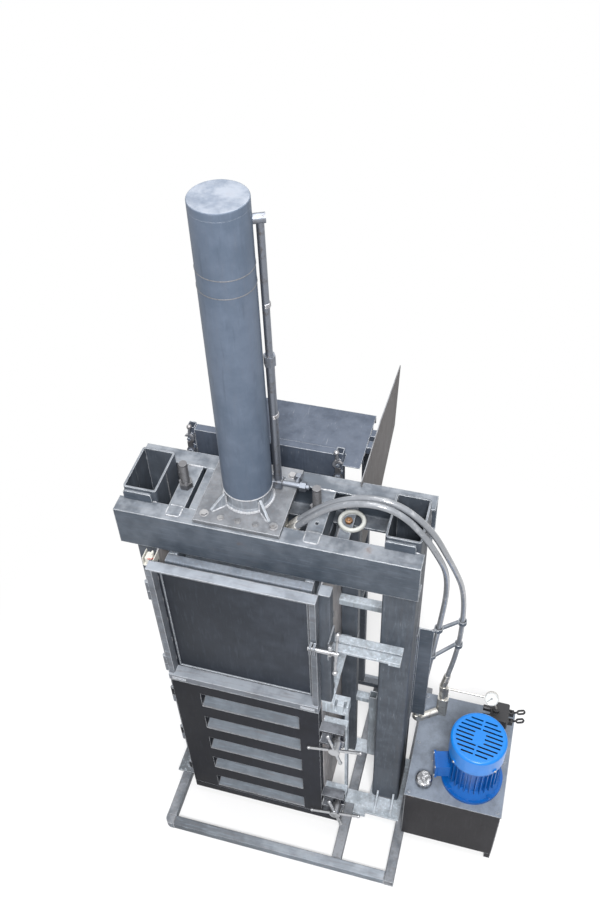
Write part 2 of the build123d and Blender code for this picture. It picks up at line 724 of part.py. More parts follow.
def bearers():
    """Short bridges between the channels, their studs and the small clip plates."""
    spans = {0: BEARER_LEFT, 1: BEARER_RIGHT}
    bridges = []
    y = (-COL_HALF_D, COL_HALF_D)
    for index, span in spans.items():
        top = block(span, y, (BEAM_TOP - BEARER_T, BEAM_TOP))
        for x in ((span[0], span[0] + BEARER_WEB), (span[1] - BEARER_WEB, span[1])):
            top += block(x, y, (BEAM_TOP - BEARER_H, BEAM_TOP - BEARER_T))
        bridges.append(top - rod((STUD_X[index], 0, BEAM_TOP - BEARER_H), "z", STUD_R + RUN, BEARER_H))
    slot_y = (-COL_HALF_D * 0.62, -COL_HALF_D * 0.5)
    middle = (BEARER_RIGHT[0] + BEARER_RIGHT[1]) / 2
    slot_x = (middle - BEARER_SLOT_HALF, middle + BEARER_SLOT_HALF)
    bridges[1] -= block(slot_x, slot_y, (BEAM_TOP - BEARER_T, BEAM_TOP))
    low = BEAM_TOP - MEMBER_DROP
    web_y = COL_HALF_D + BEAM_FLANGE - BEAM_WEB_T
    bridges.append(block(CROSS_BAR, y, (BEAM_TOP - BEARER_T, BEAM_TOP)))
    bridges.append(block(MEMBER, (-web_y, web_y), (low - BEARER_T, low)))
    wide = (-EYE_R * 2, EYE_R * 2)
    eye = Torus(EYE_R, EYE_BAR_R) - block(wide, wide, (-EYE_BAR_R, EYE_SINK - EYE_BAR_R))
    bridges.append(Pos(EYE_X, COL_HALF_D / 2, low + EYE_BAR_R - EYE_SINK) * eye)
    for span in spans.values():
        middle = (span[0] + span[1]) / 2
        clip_y = (BEAM_FRONT_Y + CLIP_INSET, -COL_HALF_D)
        clip_x = (middle - CLIP_HALF_W, middle + CLIP_HALF_W)
        bridges.append(block(clip_x, clip_y, (BEAM_TOP, BEAM_TOP + SHEET)))
    for span in (COL_LEFT, COL_RIGHT):
        lift = COLUMN_RISE * 0.75
        stop_y = (-COL_HALF_D - STOP_T, -COL_HALF_D)
        stop = block((span[0] + STOP_INSET, span[1] - STOP_SHORT), stop_y, (BEAM_TOP, BEAM_TOP + lift))
        bridges.append(fillet(stop.edges().filter_by(Axis.Y).group_by(Axis.Z)[-1], STOP_T))

    studs = []
    for x in STUD_X:
        bottom = BEAM_TOP - BEARER_T - STUD_DROP
        studs.append(rod((x, 0, bottom), "z", STUD_R, BEAM_TOP + STUD_RISE - bottom))
        studs.append(hexagon((x, 0, BEAM_TOP), "z", NUT_AF, NUT_H, STUD_R + RUN))
    return {"bearers": bridges, "tie_studs": studs}


def cylinder():
    """Flange plate with its bolts, gland neck with gussets, barrel and cap."""
    across = (-PLATE_HALF, PLATE_HALF)
    plate = block(across, across, (BEAM_TOP, PLATE_TOP))
    plate -= rod((0, 0, BEAM_TOP), "z", ROD_HOLE_R, PLATE_T)
    corners, rows = bolt_places()
    bolts = []
    for radius, places in ((BOLT_R, corners), (ROW_BOLT_R, rows)):
        for x, y in places:
            plate -= rod((x, y, BEAM_TOP), "z", radius + RUN, PLATE_T)
            shank = rod((x, y, BEAM_TOP - BEAM_FLANGE_T), "z", radius, PLATE_T + BEAM_FLANGE_T)
            bolts.append(shank + hexagon((x, y, PLATE_TOP), "z", radius * 3.2, radius * 1.2))
            nut = (x, y, BEAM_TOP - BEAM_FLANGE_T - radius * 1.6)
            below = radius * 1.6
            bolts[-1] += hexagon(nut, "z", radius * 3.2, below)

    spigot_low = BEAM_TOP - PLATE_T / 2
    neck = rod((0, 0, PLATE_TOP), "z", NECK_R, BARREL_BOTTOM - PLATE_TOP)
    neck += Pos(0, 0, PLATE_TOP + NECK_WELD_H / 2) * Cone(NECK_WELD_R, NECK_R, NECK_WELD_H)
    neck += rod((0, 0, spigot_low), "z", NECK_SPIGOT_R, PLATE_TOP - spigot_low)
    neck -= rod((0, 0, spigot_low), "z", ROD_R + RUN, BARREL_BOTTOM - spigot_low)
    gussets = []
    for angle in (-45, -135, 45, 135):
        rib_in = NECK_WELD_R + GUSSET_GAP
        rib_out = PLATE_HALF * 0.96
        corner_z = BARREL_BOTTOM - GUSSET_DROP
        outline = [(rib_in, PLATE_TOP), (rib_in, corner_z), (rib_in + GUSSET_DROP, corner_z),
                   (rib_out, PLATE_TOP + GUSSET_TIP_H), (rib_out, PLATE_TOP)]
        side = Plane(origin=(0, GUSSET_T / 2, 0), x_dir=(1, 0, 0), z_dir=(0, -1, 0))
        rib = prism(outline, side, GUSSET_T)
        gussets.append(Rot(0, 0, angle) * rib)
    barrel = ring((0, 0, BARREL_BOTTOM), "z", BARREL_R, BARREL_BORE_R, BARREL_LENGTH)
    cap = rod((0, 0, BARREL_TOP), "z", BARREL_R, BARREL_CAP_T)
    cap = fillet(cap.edges().group_by(Axis.Z)[-1], BARREL_CAP_ROUND)
    return {
        "flange_plate": [plate],
        "flange_bolts": bolts,
        "gland_neck": [neck] + gussets,
        "cylinder_barrel": [barrel, cap],
    }


def return_pipe():
    """Oil pipe beside the barrel, its union and the fittings at its foot."""
    reach = BARREL_R + PIPE_GAP + PIPE_LOW_R
    turn = radians(PIPE_AT)
    x, y = reach * cos(turn), reach * sin(turn)
    head = PIPE_LOW_R * 1.25
    foot_z = BARREL_BOTTOM - 1
    link_z = BARREL_TOP - PIPE_LINK_DROP
    lower = rod((x, y, foot_z), "z", PIPE_LOW_R, PIPE_JOINT_Z - foot_z)
    union = hexagon((x, y, PIPE_JOINT_Z), "z", PIPE_LOW_R * 2.4, PIPE_UNION_H)
    union_top = PIPE_JOINT_Z + PIPE_UNION_H
    upper = rod((x, y, union_top), "z", PIPE_R, link_z - union_top)
    link_r = PIPE_R * 1.3
    link = bar_between((x * 0.5, y * 0.5, link_z), (x * 1.15, y * 1.15, link_z), link_r)
    upper += link - rod((0, 0, link_z - link_r - 1), "z", BARREL_R + RUN, 2 * link_r + 2)
    elbow = block((x - head, x + head), (y - head, y + head), (foot_z - 2 * head, foot_z))
    elbow = fillet(elbow.edges(), PIPE_ELBOW_ROUND)
    fit_x = x + head
    fit_z = foot_z - head
    tee_x = fit_x + FITTING_L * 0.75
    fitting = rod((fit_x, y, fit_z), "x", FITTING_R, FITTING_L)
    fitting += rod((tee_x, y, fit_z), "y", TEE_R, TEE_L)
    nut = hexagon((fit_x + FITTING_L, y, fit_z), "x", FITTING_AF, FITTING_NUT_L)
    plug = rod((fit_x + FITTING_L + FITTING_NUT_L, y, fit_z), "x", PLUG_R, PLUG_L)
    side_nut = hexagon((tee_x, y + TEE_L, fit_z), "y", TEE_AF, TEE_NUT_L)
    return {"return_pipe": [lower, union, upper, elbow, fitting, nut, plug, side_nut]}


def chamber():
    """Side, rear and floor sheets with their posts and rails."""
    split = (SPLIT_Z, SPLIT_TOP)
    upper_front = CHAMBER_FRONT_Y + POST
    walls = {}
    rails = []
    posts = []
    for name, side in (("wall_left", -1), ("wall_right", 1)):
        x = sorted((side * CHAMBER_HALF_W, side * WALL_OUT_X))
        lower = block(x, (CHAMBER_FRONT_Y, CHAMBER_REAR_Y), (FOOT_TOP, SPLIT_Z))
        upper = block(x, (upper_front, CHAMBER_REAR_Y), (SPLIT_TOP, BEAM_BOTTOM))
        walls[name] = [lower, upper]
        reach = WALL_OUT_X if side < 0 else CHAMBER_HALF_W + SPLIT_RAIL_W
        rail_x = sorted((side * CHAMBER_HALF_W, side * reach))
        rails.append(block(rail_x, (CHAMBER_FRONT_Y, CHAMBER_REAR_Y), split))
    overhang = (CHAMBER_HALF_W, CHAMBER_HALF_W + SPLIT_RAIL_W)
    rails.append(block(overhang, (CHAMBER_REAR_Y + WALL_T, CHAMBER_REAR_Y + LEG), split))

    post_out = CHAMBER_HALF_W + POST
    front_y = (CHAMBER_FRONT_Y, upper_front)
    posts.append(square_tube((CHAMBER_HALF_W, post_out), front_y, (SPLIT_TOP, BEAM_BOTTOM), "z",
                             POST_WALL))
    switch_shelf = BEAM_BOTTOM - SWITCH_DROP
    posts.append(square_tube((-post_out, -CHAMBER_HALF_W), front_y, (FOOT_TOP, switch_shelf), "z",
                             POST_WALL))
    rear_y = (COL_HALF_D, COL_HALF_D + REAR_POST_D)
    posts.append(square_tube((WALL_OUT_X, WALL_OUT_X + REAR_POST_W), rear_y, (FOOT_TOP, SPLIT_Z), "z",
                             POST_WALL))
    posts.append(square_tube((WALL_OUT_X, WALL_OUT_X + REAR_POST_W), rear_y,
                             (SPLIT_TOP, BEAM_BOTTOM), "z", POST_WALL))
    walls["wall_left"][0] = block((-WALL_OUT_X, -CHAMBER_HALF_W), (upper_front, CHAMBER_REAR_Y),
                                  (FOOT_TOP, SPLIT_Z))
    rails[0] = block((-WALL_OUT_X, -CHAMBER_HALF_W), (upper_front, CHAMBER_REAR_Y), split)

    rear = block((-WALL_OUT_X, WALL_OUT_X), (CHAMBER_REAR_Y, CHAMBER_REAR_Y + WALL_T),
                 (FOOT_TOP, BEAM_BOTTOM))
    ribs = []
    for z in (FLOOR_TOP + RIB_FIRST, SPLIT_Z - RIB_SPLIT_DROP, BEAM_BOTTOM - RIB_TOP_DROP):
        rib_y = (CHAMBER_REAR_Y + WALL_T, CHAMBER_REAR_Y + WALL_T + LEG)
        ribs.append(square_tube((-CHAMBER_HALF_W, CHAMBER_HALF_W), rib_y, (z, z + LEG), "x"))

    inner = (-CHAMBER_HALF_W, CHAMBER_HALF_W)
    floor_z = (FLOOR_TOP - FLOOR_T, FLOOR_TOP)
    floor = [block(inner, (upper_front, CHAMBER_REAR_Y), floor_z)]
    joist_z = (FOOT_TOP, floor_z[0])
    step = (2 * (CHAMBER_HALF_W - JOIST_INSET) - RAIL) / (JOIST_COUNT - 1)
    for k in range(JOIST_COUNT):
        x0 = -CHAMBER_HALF_W + JOIST_INSET + k * step
        floor.append(square_tube((x0, x0 + RAIL), (upper_front, CHAMBER_REAR_Y), joist_z, "y"))
    nose_y = (CHAMBER_FRONT_Y, upper_front)
    floor.append(block(inner, nose_y, floor_z))
    sill_x = (DOOR_LEFT_X, RAIL_MID_X)
    sill = square_tube(sill_x, (DOOR_FRONT_Y, CHAMBER_FRONT_Y), (RAIL + GAP, SILL_TOP), "x")
    sill_back = block(inner, nose_y, (SILL_TOP - SILL_BACK_H, floor_z[0]))
    walls["wall_rear"] = [rear] + ribs
    walls.update({"chamber_floor": floor, "sill_beam": [sill, sill_back],
                  "door_posts": posts, "side_rails": rails})
    return walls


def ties():
    """Bars between the chamber and the right column."""
    first_y = (-COL_HALF_D - TIE_BAR_W, -COL_HALF_D)
    second_y = (first_y[0] - TIE_BAR_GAP - TIE_BAR_W, first_y[0] - TIE_BAR_GAP)
    end_x = COL_RIGHT[0] + COLUMN_W * 0.76
    z = (TIE_BAR_Z, TIE_BAR_Z + TIE_BAR_T)
    bars = [block((WALL_OUT_X, end_x), y, z) for y in (first_y, second_y)]
    under = (TIE_BAR_Z - FOOT_T, TIE_BAR_Z)
    for x in ((WALL_OUT_X, WALL_OUT_X + POST), (end_x - POST, end_x)):
        bars.append(block(x, (second_y[0], first_y[1]), under))
    rear_x0 = WALL_OUT_X + REAR_POST_W
    rear_y = (COL_HALF_D - LEG, COL_HALF_D)
    bars.append(square_tube((WALL_OUT_X, COL_RIGHT[0]), rear_y, (TIE_BAR_Z - LEG, TIE_BAR_Z), "x"))
    stub_x = (RAIL_MID_X + RAIL, RAIL_MID_X + RAIL + LEG)
    behind = (COL_HALF_D, COL_HALF_D + LEG)
    bars.append(square_tube((rear_x0, stub_x[0]), behind, (TIE_LOW_Z, TIE_LOW_Z + LEG), "x"))
    bars.append(square_tube(stub_x, behind, (FOOT_TOP, TIE_LOW_Z + 1.5 * LEG), "z"))
    return {"tie_bars": bars}


def rear_feed():
    """Rear panel between two posts, feed table, wing plate and their legs."""
    face = CHAMBER_REAR_Y
    panel = block((PANEL_LEFT_X, PANEL_RIGHT_X), (face, face + SHEET), (BEAM_BOTTOM, PANEL_TOP))
    for z in ((PANEL_TOP - SHEET, PANEL_TOP), (BEAM_BOTTOM, BEAM_BOTTOM + SHEET)):
        panel += block((PANEL_LEFT_X, PANEL_RIGHT_X), (face, face + PANEL_RIM), z)
    posts = []
    post_y = (face, face + PANEL_RIM)
    post_z = (BEAM_BOTTOM, PANEL_TOP + PANEL_POST_RISE)
    for x in ((PANEL_LEFT_X - PANEL_POST_W, PANEL_LEFT_X), (PANEL_RIGHT_X, PANEL_RIGHT_X + PANEL_POST_W)):
        posts.append(square_tube(x, post_y, post_z, "z", PANEL_POST_WALL, PANEL_POST_ROUND))
        middle = (x[0] + x[1]) / 2
        pin_y = face - HOOK_PLATE_OFF - HOOK_PLATE_T - HOOK_PIN_OUT
        posts.append(rod((middle, pin_y, HOOK_Z), "y", HOOK_PIN_R, face - pin_y))

    table_z = (TABLE_Z - SHEET, TABLE_Z)
    table = block((TABLE_LEFT_X, TABLE_RIGHT_X), (TABLE_FRONT_Y, TABLE_REAR_Y), table_z)
    for y in ((TABLE_FRONT_Y, TABLE_FRONT_Y + SHEET), (TABLE_REAR_Y - SHEET, TABLE_REAR_Y)):
        table += block((TABLE_LEFT_X, TABLE_RIGHT_X), y, (TABLE_Z - TABLE_SKIRT, TABLE_Z))
    side_x = (PANEL_RIGHT_X + PANEL_POST_W + GAP, TABLE_RIGHT_X)
    table += block(side_x, (TABLE_SIDE_Y, TABLE_FRONT_Y + SHEET), table_z)
    leg_top = TABLE_Z - SHEET
    legs = []
    leg_y = (TABLE_REAR_Y - SHEET - LEG, TABLE_REAR_Y - SHEET)
    beam_z = (RAIL + LEG_BEAM_RISE, RAIL + LEG_BEAM_RISE + LEG)
    for x0 in (TABLE_LEFT_X + TABLE_LEG_INSET, TABLE_RIGHT_X - LEG - TABLE_LEG_INSET):
        legs.append(square_tube((x0, x0 + LEG), leg_y, (beam_z[1], leg_top), "z"))
        arm_z = (leg_top - LEG, leg_top)
        legs.append(square_tube((x0, x0 + LEG), (TABLE_FRONT_Y + SHEET, leg_y[0]), arm_z, "y"))
        low = SPLIT_Z - RIB_SPLIT_DROP
        low_y = (face + WALL_T + LEG, leg_y[0])
        legs.append(square_tube((x0, x0 + LEG), low_y, (low, low + LEG), "y"))
    foot_x = (RAIL_LEFT_X + RAIL, RAIL_RIGHT_X)
    legs.append(square_tube((foot_x[0], foot_x[1]), leg_y, beam_z, "x"))
    for x0 in (foot_x[0], foot_x[1] - LEG):
        legs.append(block((x0, x0 + LEG), (leg_y[0], leg_y[1]), (0, beam_z[0])))

    behind = BEAM_REAR_Y + WING_BEAM_GAP
    above = BEAM_TOP + WING_REST_GAP
    foot = [(behind, WING_OUTLINE[-1][1]), (behind, above), (WING_OUTLINE[0][0], above)]
    wing = yz_plate(WING_OUTLINE + foot, WING_X, WING_T)
    bracket = []
    bracket_x = (TABLE_RIGHT_X - TABLE_BRACKET_IN, WING_X)
    for y0 in (TABLE_FRONT_Y + TABLE_BRACKET_FRONT, TABLE_REAR_Y - TABLE_BRACKET_REAR):
        bracket.append(block(bracket_x, (y0, y0 + LEG), (TABLE_Z - TABLE_SKIRT, TABLE_Z - SHEET)))
    return {"rear_panel": [panel] + posts, "feed_table": [table] + bracket,
            "wing_plate": [wing], "hopper_legs": legs}


def rear_hooks():
    """Hook plates that swing over the pins of the rear panel's posts."""
    hooks = {}
    y0 = CHAMBER_REAR_Y - HOOK_PLATE_OFF - HOOK_PLATE_T
    spans = {"hook_left": (PANEL_LEFT_X - PANEL_POST_W / 2, -1),
             "hook_right": (PANEL_RIGHT_X + PANEL_POST_W / 2, 1)}
    fixed = []
    y = (y0, y0 + HOOK_PLATE_T)
    middle = (y[0] + y[1]) / 2
    mouth = HOOK_PIN_R + HOOK_MOUTH_GAP
    for name, (pin_x, side) in spans.items():
        pivot_z = HOOK_Z - HOOK_ARM
        head_z = HOOK_Z + HOOK_HEAD_R
        plate = block((pin_x - HOOK_ARM_W / 2, pin_x + HOOK_ARM_W / 2), y, (pivot_z, head_z))
        plate += rod((pin_x, y0, pivot_z), "y", HOOK_EYE_R, HOOK_PLATE_T)
        plate += rod((pin_x, y0, HOOK_Z), "y", HOOK_HEAD_R, HOOK_PLATE_T)
        plate -= rod((pin_x, y0, HOOK_Z), "y", mouth, HOOK_PLATE_T)
        mouth_x = sorted((pin_x, pin_x + side * 2 * HOOK_HEAD_R))
        plate -= block(mouth_x, y, (HOOK_Z - mouth - HOOK_LIP_DROP, HOOK_Z + mouth))
        plate -= rod((pin_x, y0, pivot_z), "y", HOOK_PIN_R + RUN, HOOK_PLATE_T)
        knob_x = pin_x - side * HOOK_GRIP_LEAN
        grip_low = head_z - HOOK_GRIP_SINK
        grip = bar_between((pin_x, middle, grip_low), (knob_x, middle, grip_low + HOOK_GRIP_L),
                           HOOK_GRIP_R)
        knob = Pos(knob_x, middle, grip_low + HOOK_GRIP_L + HOOK_KNOB_OVER) * Sphere(HOOK_KNOB_R)
        hooks[name] = [plate + grip + knob]
        head_y = y0 - HOOK_PIVOT_HEAD
        pivot = rod((pin_x, head_y, pivot_z), "y", HOOK_PIN_R, CHAMBER_REAR_Y - head_y)
        pivot += rod((pin_x, head_y, pivot_z), "y", HOOK_PIVOT_HEAD_R, HOOK_PIVOT_HEAD - GAP)
        boss_y = y[1] + GAP
        pivot += rod((pin_x, boss_y, pivot_z), "y", HOOK_BOSS_R, CHAMBER_REAR_Y - boss_y)
        fixed.append(pivot)
    return hooks, fixed


def knuckle_levels(bottom, top, count):
    """Middle heights of the hinges along a door."""
    first = bottom + (top - bottom) * 0.14
    last = bottom + (top - bottom) * 0.86
    return [first + k * (last - first) / (count - 1) for k in range(count)]


def hinge_pair(level):
    """Fixed knuckle with its pin, and the door's knuckle above it."""
    low = level - HINGE_KNUCKLE
    fixed = rod((HINGE_X, HINGE_Y, low), "z", HINGE_R, HINGE_KNUCKLE)
    leaf_x = (HINGE_X - HINGE_PLATE_T / 2, HINGE_X + HINGE_PLATE_T / 2)
    fixed += block(leaf_x, (HINGE_Y, CHAMBER_FRONT_Y), (low, level))
    fixed += rod((HINGE_X, HINGE_Y, level), "z", HINGE_PIN_R, HINGE_KNUCKLE)
    moving_z = (level + GAP, level + HINGE_KNUCKLE)
    moving = rod((HINGE_X, HINGE_Y, moving_z[0]), "z", HINGE_R, moving_z[1] - moving_z[0])
    front = HINGE_Y - HINGE_R
    moving += block((HINGE_X, DOOR_LEFT_X), (front, front + HINGE_LEAF_T), moving_z)
    side_x = (DOOR_LEFT_X - HINGE_LEAF_SIDE, DOOR_LEFT_X)
    moving += block(side_x, (front, front + HINGE_LEAF_D), moving_z)
    moving -= rod((HINGE_X, HINGE_Y, moving_z[0]), "z", HINGE_PIN_R + RUN, HINGE_KNUCKLE)
    return fixed, moving


def upper_door(knuckles):
    """Framed sheet door with protruding bottom rail and the latch's bearings."""
    z0, z1 = UPPER_DOOR_BOTTOM, BEAM_BOTTOM
    rear = CHAMBER_FRONT_Y - GAP
    y = (DOOR_FRONT_Y, rear - DOOR_SKIN_T)
    rail_top = (z1 - UPPER_TOP_RAIL_H, z1)
    rail_low = (z0, z0 + UPPER_BOTTOM_RAIL_H)
    span = (DOOR_LEFT_X, DOOR_RIGHT_X)
    stile_z = (rail_low[1], rail_top[0])
    frame = [block(span, y, rail_top)]
    low_y = (DOOR_FRONT_Y - UPPER_BOTTOM_RAIL_OUT, y[1])
    bottom = block(span, low_y, rail_low)
    slot_z = (rail_low[0] + RAIL_SLOT_LOW, rail_low[1] - RAIL_SLOT_HIGH)
    for x in (span[0] + RAIL_SLOT_END, span[1] - RAIL_SLOT_END - RAIL_SLOT_W):
        bottom -= block((x, x + RAIL_SLOT_W), (low_y[0], low_y[0] + RAIL_SLOT_D), slot_z)
    frame.append(bottom)
    for x in ((span[0], span[0] + UPPER_STILE_W), (span[1] - UPPER_STILE_W, span[1])):
        stile = block(x, y, stile_z)
        frame.append(stile)
    inset = UPPER_STILE_W + UPPER_LIP_INSET
    lip_x = (span[0] + inset, span[1] - inset)
    lip_y = (y[1] - UPPER_LIP, y[1])
    lip_low = stile_z[0] + UPPER_LIP_INSET
    for x in ((lip_x[0], lip_x[0] + UPPER_LIP), (lip_x[1] - UPPER_LIP, lip_x[1])):
        frame.append(block(x, lip_y, (lip_low, stile_z[1])))
    frame.append(block((lip_x[0] + UPPER_LIP, lip_x[1] - UPPER_LIP), lip_y, (lip_low, lip_low + UPPER_LIP)))
    frame += knuckles
    skin = [block(span, (rear - DOOR_SKIN_T, rear), (z0, z1))]

    axis_y = DOOR_FRONT_Y - LATCH_OUT
    lug_y = (axis_y - LATCH_SHAFT_R - LATCH_LUG_OVER, DOOR_FRONT_Y)
    lug_z = (LATCH_Z - LATCH_LUG_HALF, LATCH_Z + LATCH_LUG_HALF)
    for x in (span[1] - UPPER_STILE_W, span[1] - LATCH_LUG_T):
        lug = block((x, x + LATCH_LUG_T), lug_y, lug_z)
        lug -= rod((x, axis_y, LATCH_Z), "x", LATCH_SHAFT_R + RUN, LATCH_LUG_T)
        frame.append(lug)
    return {"upper_door_frame": frame, "upper_door_skin": skin}


def polar(center, angle, radius):
    """Point at an angle, in degrees, and a radius from a centre."""
    return (center[0] + radius * cos(radians(angle)), center[1] + radius * sin(radians(angle)))


def arc_plate(x, center, inner, outer, start, span, thickness):
    """Curved bar in a plane across X, around a centre, from start over span degrees."""
    steps = 12
    angles = [start + span * k / steps for k in range(steps + 1)]
    points = [polar(center, a, outer) for a in angles]
    points += [polar(center, a, inner) for a in reversed(angles)]
    return yz_plate(points, x, thickness)


def upper_latch():
    """Turning shaft with a hook and a ball-ended lever, and the fixed keeper."""
    axis_y = DOOR_FRONT_Y - LATCH_OUT
    start_x = DOOR_RIGHT_X - UPPER_STILE_W - LATCH_SHAFT_IN
    center = (axis_y, LATCH_Z)
    shaft = rod((start_x, axis_y, LATCH_Z), "x", LATCH_SHAFT_R, LATCH_SHAFT_END_X - start_x)
    hook_x = CHAMBER_HALF_W + POST + HOOK_OFF
    hub = rod((hook_x, axis_y, LATCH_Z), "x", LATCH_HUB_R, HOOK_W)
    arm_top = LATCH_Z + HOOK_OUT_R - 1
    arm_y = (axis_y - HOOK_ARM_HALF, axis_y + HOOK_ARM_HALF)
    arm = block((hook_x, hook_x + HOOK_W), arm_y, (LATCH_Z, arm_top))
    hook = arc_plate(hook_x, center, HOOK_IN_R, HOOK_OUT_R, HOOK_START, HOOK_SPAN, HOOK_W)
    tilt = radians(LATCH_TILT)
    reach = LATCH_LEVER_HALF
    tips = [(LATCH_LEVER_X, axis_y + s * reach * sin(tilt), LATCH_Z + s * reach * cos(tilt))
            for s in (-1, 1)]
    lever = bar_between(tips[0], tips[1], LATCH_LEVER_R)
    for tip in tips:
        lever += Pos(*tip) * Sphere(LATCH_BALL_R)
    piece = shaft + hub + arm + hook + lever

    mid_r = HOOK_IN_R - KEEPER_PIN_R - KEEPER_PIN_GAP
    pin_y, pin_z = polar(center, KEEPER_ANGLE, mid_r)
    plate_x = (CHAMBER_HALF_W + POST, CHAMBER_HALF_W + POST + KEEPER_T)
    plate_front = pin_y - KEEPER_FRONT
    plate_y = (plate_front, CHAMBER_FRONT_Y + POST * 0.9)
    plate = block(plate_x, plate_y, (LATCH_Z - KEEPER_BELOW, LATCH_Z + KEEPER_ABOVE))
    shaft_room = LATCH_SHAFT_R + KEEPER_ROOM
    room_z = (LATCH_Z - shaft_room, LATCH_Z + KEEPER_ABOVE + 1)
    plate -= block(plate_x, (plate_front - 1, axis_y + shaft_room), room_z)
    pin = rod((plate_x[1], pin_y, pin_z), "x", KEEPER_PIN_R, KEEPER_PIN_OUT)
    return [piece], [plate + pin]


def lower_door(knuckles):
    """Ribbed plate door with five strap slots, sloping shelves and clamp ears."""
    z0, z1 = LOWER_DOOR_BOTTOM, LOWER_DOOR_TOP
    rear = CHAMBER_FRONT_Y - GAP
    door = block((DOOR_LEFT_X, DOOR_RIGHT_X), (DOOR_FRONT_Y, rear), (z0, z1))
    levels = [SLOT_FIRST_BOTTOM + k * SLOT_PITCH for k in range(SLOT_COUNT)]
    for z in levels:
        door -= block((SLOT_LEFT_X, SLOT_RIGHT_X), (DOOR_FRONT_Y, rear), (z, z + SLOT_H))
    shelves = []
    for z in levels:
        front = DOOR_FRONT_Y + SHELF_INSET
        corners = [(front, z), (rear, z), (rear, z + SHELF_RISE + SHELF_T), (front, z + SHELF_T)]
        shelves.append(yz_plate(corners, SLOT_LEFT_X, SLOT_RIGHT_X - SLOT_LEFT_X))
    ear_x = (DOOR_RIGHT_X, CLAMP_X + CLAMP_BLOCK_HALF)
    ears = []
    for level in (CLAMP_UPPER_Z, CLAMP_LOWER_Z):
        ear_y = (DOOR_FRONT_Y, rear)
        for side in (-1, 1):
            inner = level + side * CLAMP_EAR_HALF
            edge = sorted((inner, inner + side * CLAMP_EAR_T))
            ears.append(block(ear_x, ear_y, edge))
        nut_x = (CLAMP_X - CLAMP_BLOCK_HALF, CLAMP_X + CLAMP_BLOCK_HALF)
        guide_y = DOOR_FRONT_Y + CLAMP_GUIDE_Y
        nut = block(nut_x, (guide_y, guide_y + CLAMP_GUIDE_T),
                    (level - CLAMP_EAR_HALF, level + CLAMP_EAR_HALF))
        nut -= rod((CLAMP_X, DOOR_FRONT_Y, level), "y", CLAMP_SCREW_R + RUN, DOOR_D)
        ears.append(nut)
    return {"lower_door_plate": [door] + ears + knuckles, "lower_door_shelves": shelves}


def hub_rear_y():
    """Rear face of a capstan hub when its screw is fully undone."""
    return DOOR_FRONT_Y + CLAMP_GUIDE_Y - CLAMP_TRAVEL - COLLAR_T - 2 * GAP


def clamp(level):
    """Capstan screw with four ball-ended spokes."""
    screw_tip = CHAMBER_FRONT_Y - CLAMP_TIP_GAP
    hub_rear = hub_rear_y()
    hub_front = hub_rear - CLAMP_HUB_L
    screw = rod((CLAMP_X, hub_front, level), "y", CLAMP_SCREW_R, screw_tip - hub_front)
    screw = chamfer(screw.edges().filter_by(GeomType.CIRCLE), CLAMP_TIP_CHAMFER)
    hub = rod((CLAMP_X, hub_front, level), "y", CLAMP_HUB_R, CLAMP_HUB_L)
    screw += chamfer(hub.edges().filter_by(GeomType.CIRCLE), CLAMP_HUB_CHAMFER)
    head_y = hub_front + CLAMP_HUB_L * CLAMP_HEAD_SHARE
    for k, reach in enumerate(CLAMP_SPOKE_REACH):
        angle = radians(CLAMP_SPOKE_TURN + 90 * k)
        tip = (CLAMP_X + reach * CLAMP_SPOKE_L * cos(angle), head_y,
               level + reach * CLAMP_SPOKE_L * sin(angle))
        screw += bar_between((CLAMP_X, head_y, level), tip, CLAMP_SPOKE_R)
        screw += Pos(*tip) * Sphere(CLAMP_SPOKE_R * 1.25)
    return screw


def clamp_anchor(level):
    """Threaded block on the chamber's side that the screw enters."""
    y = (CHAMBER_FRONT_Y, CHAMBER_FRONT_Y + ANCHOR_D)
    x = (WALL_OUT_X, CLAMP_X + ANCHOR_HALF)
    anchor = block(x, y, (level - ANCHOR_HALF, level + ANCHOR_HALF))
    anchor -= rod((CLAMP_X, y[0], level), "y", CLAMP_SCREW_R + RUN, ANCHOR_D)
    return anchor


def clamp_strip():
    """Upright strip that ties the threaded blocks, with a slotted block at its top."""
    back = CHAMBER_FRONT_Y + ANCHOR_D
    top = SPLIT_Z - CATCH_TOP_DROP
    strip = block(STRIP_X, (back, back + STRIP_D), (CLAMP_LOWER_Z - ANCHOR_HALF, top - CATCH_H))
    head_y = (CHAMBER_FRONT_Y + SHEET, back + POST / 5)
    head = block((WALL_OUT_X, CATCH_X[1]), head_y, (top - CATCH_H, top))
    slot_y = (CHAMBER_FRONT_Y, back - CATCH_SLOT_BACK)
    for x in (CATCH_X[0], CATCH_X[1] - CATCH_SLOT_W - POST / 5):
        head -= block((x, x + CATCH_SLOT_W), slot_y, (top - CATCH_H * 0.7, top))
    return [strip, head]


def collar(level):
    """Collar behind the hub that keeps the screw in the door's yoke."""
    return ring((CLAMP_X, hub_rear_y() + GAP, level), "y", COLLAR_R, CLAMP_SCREW_R + RUN, COLLAR_T)


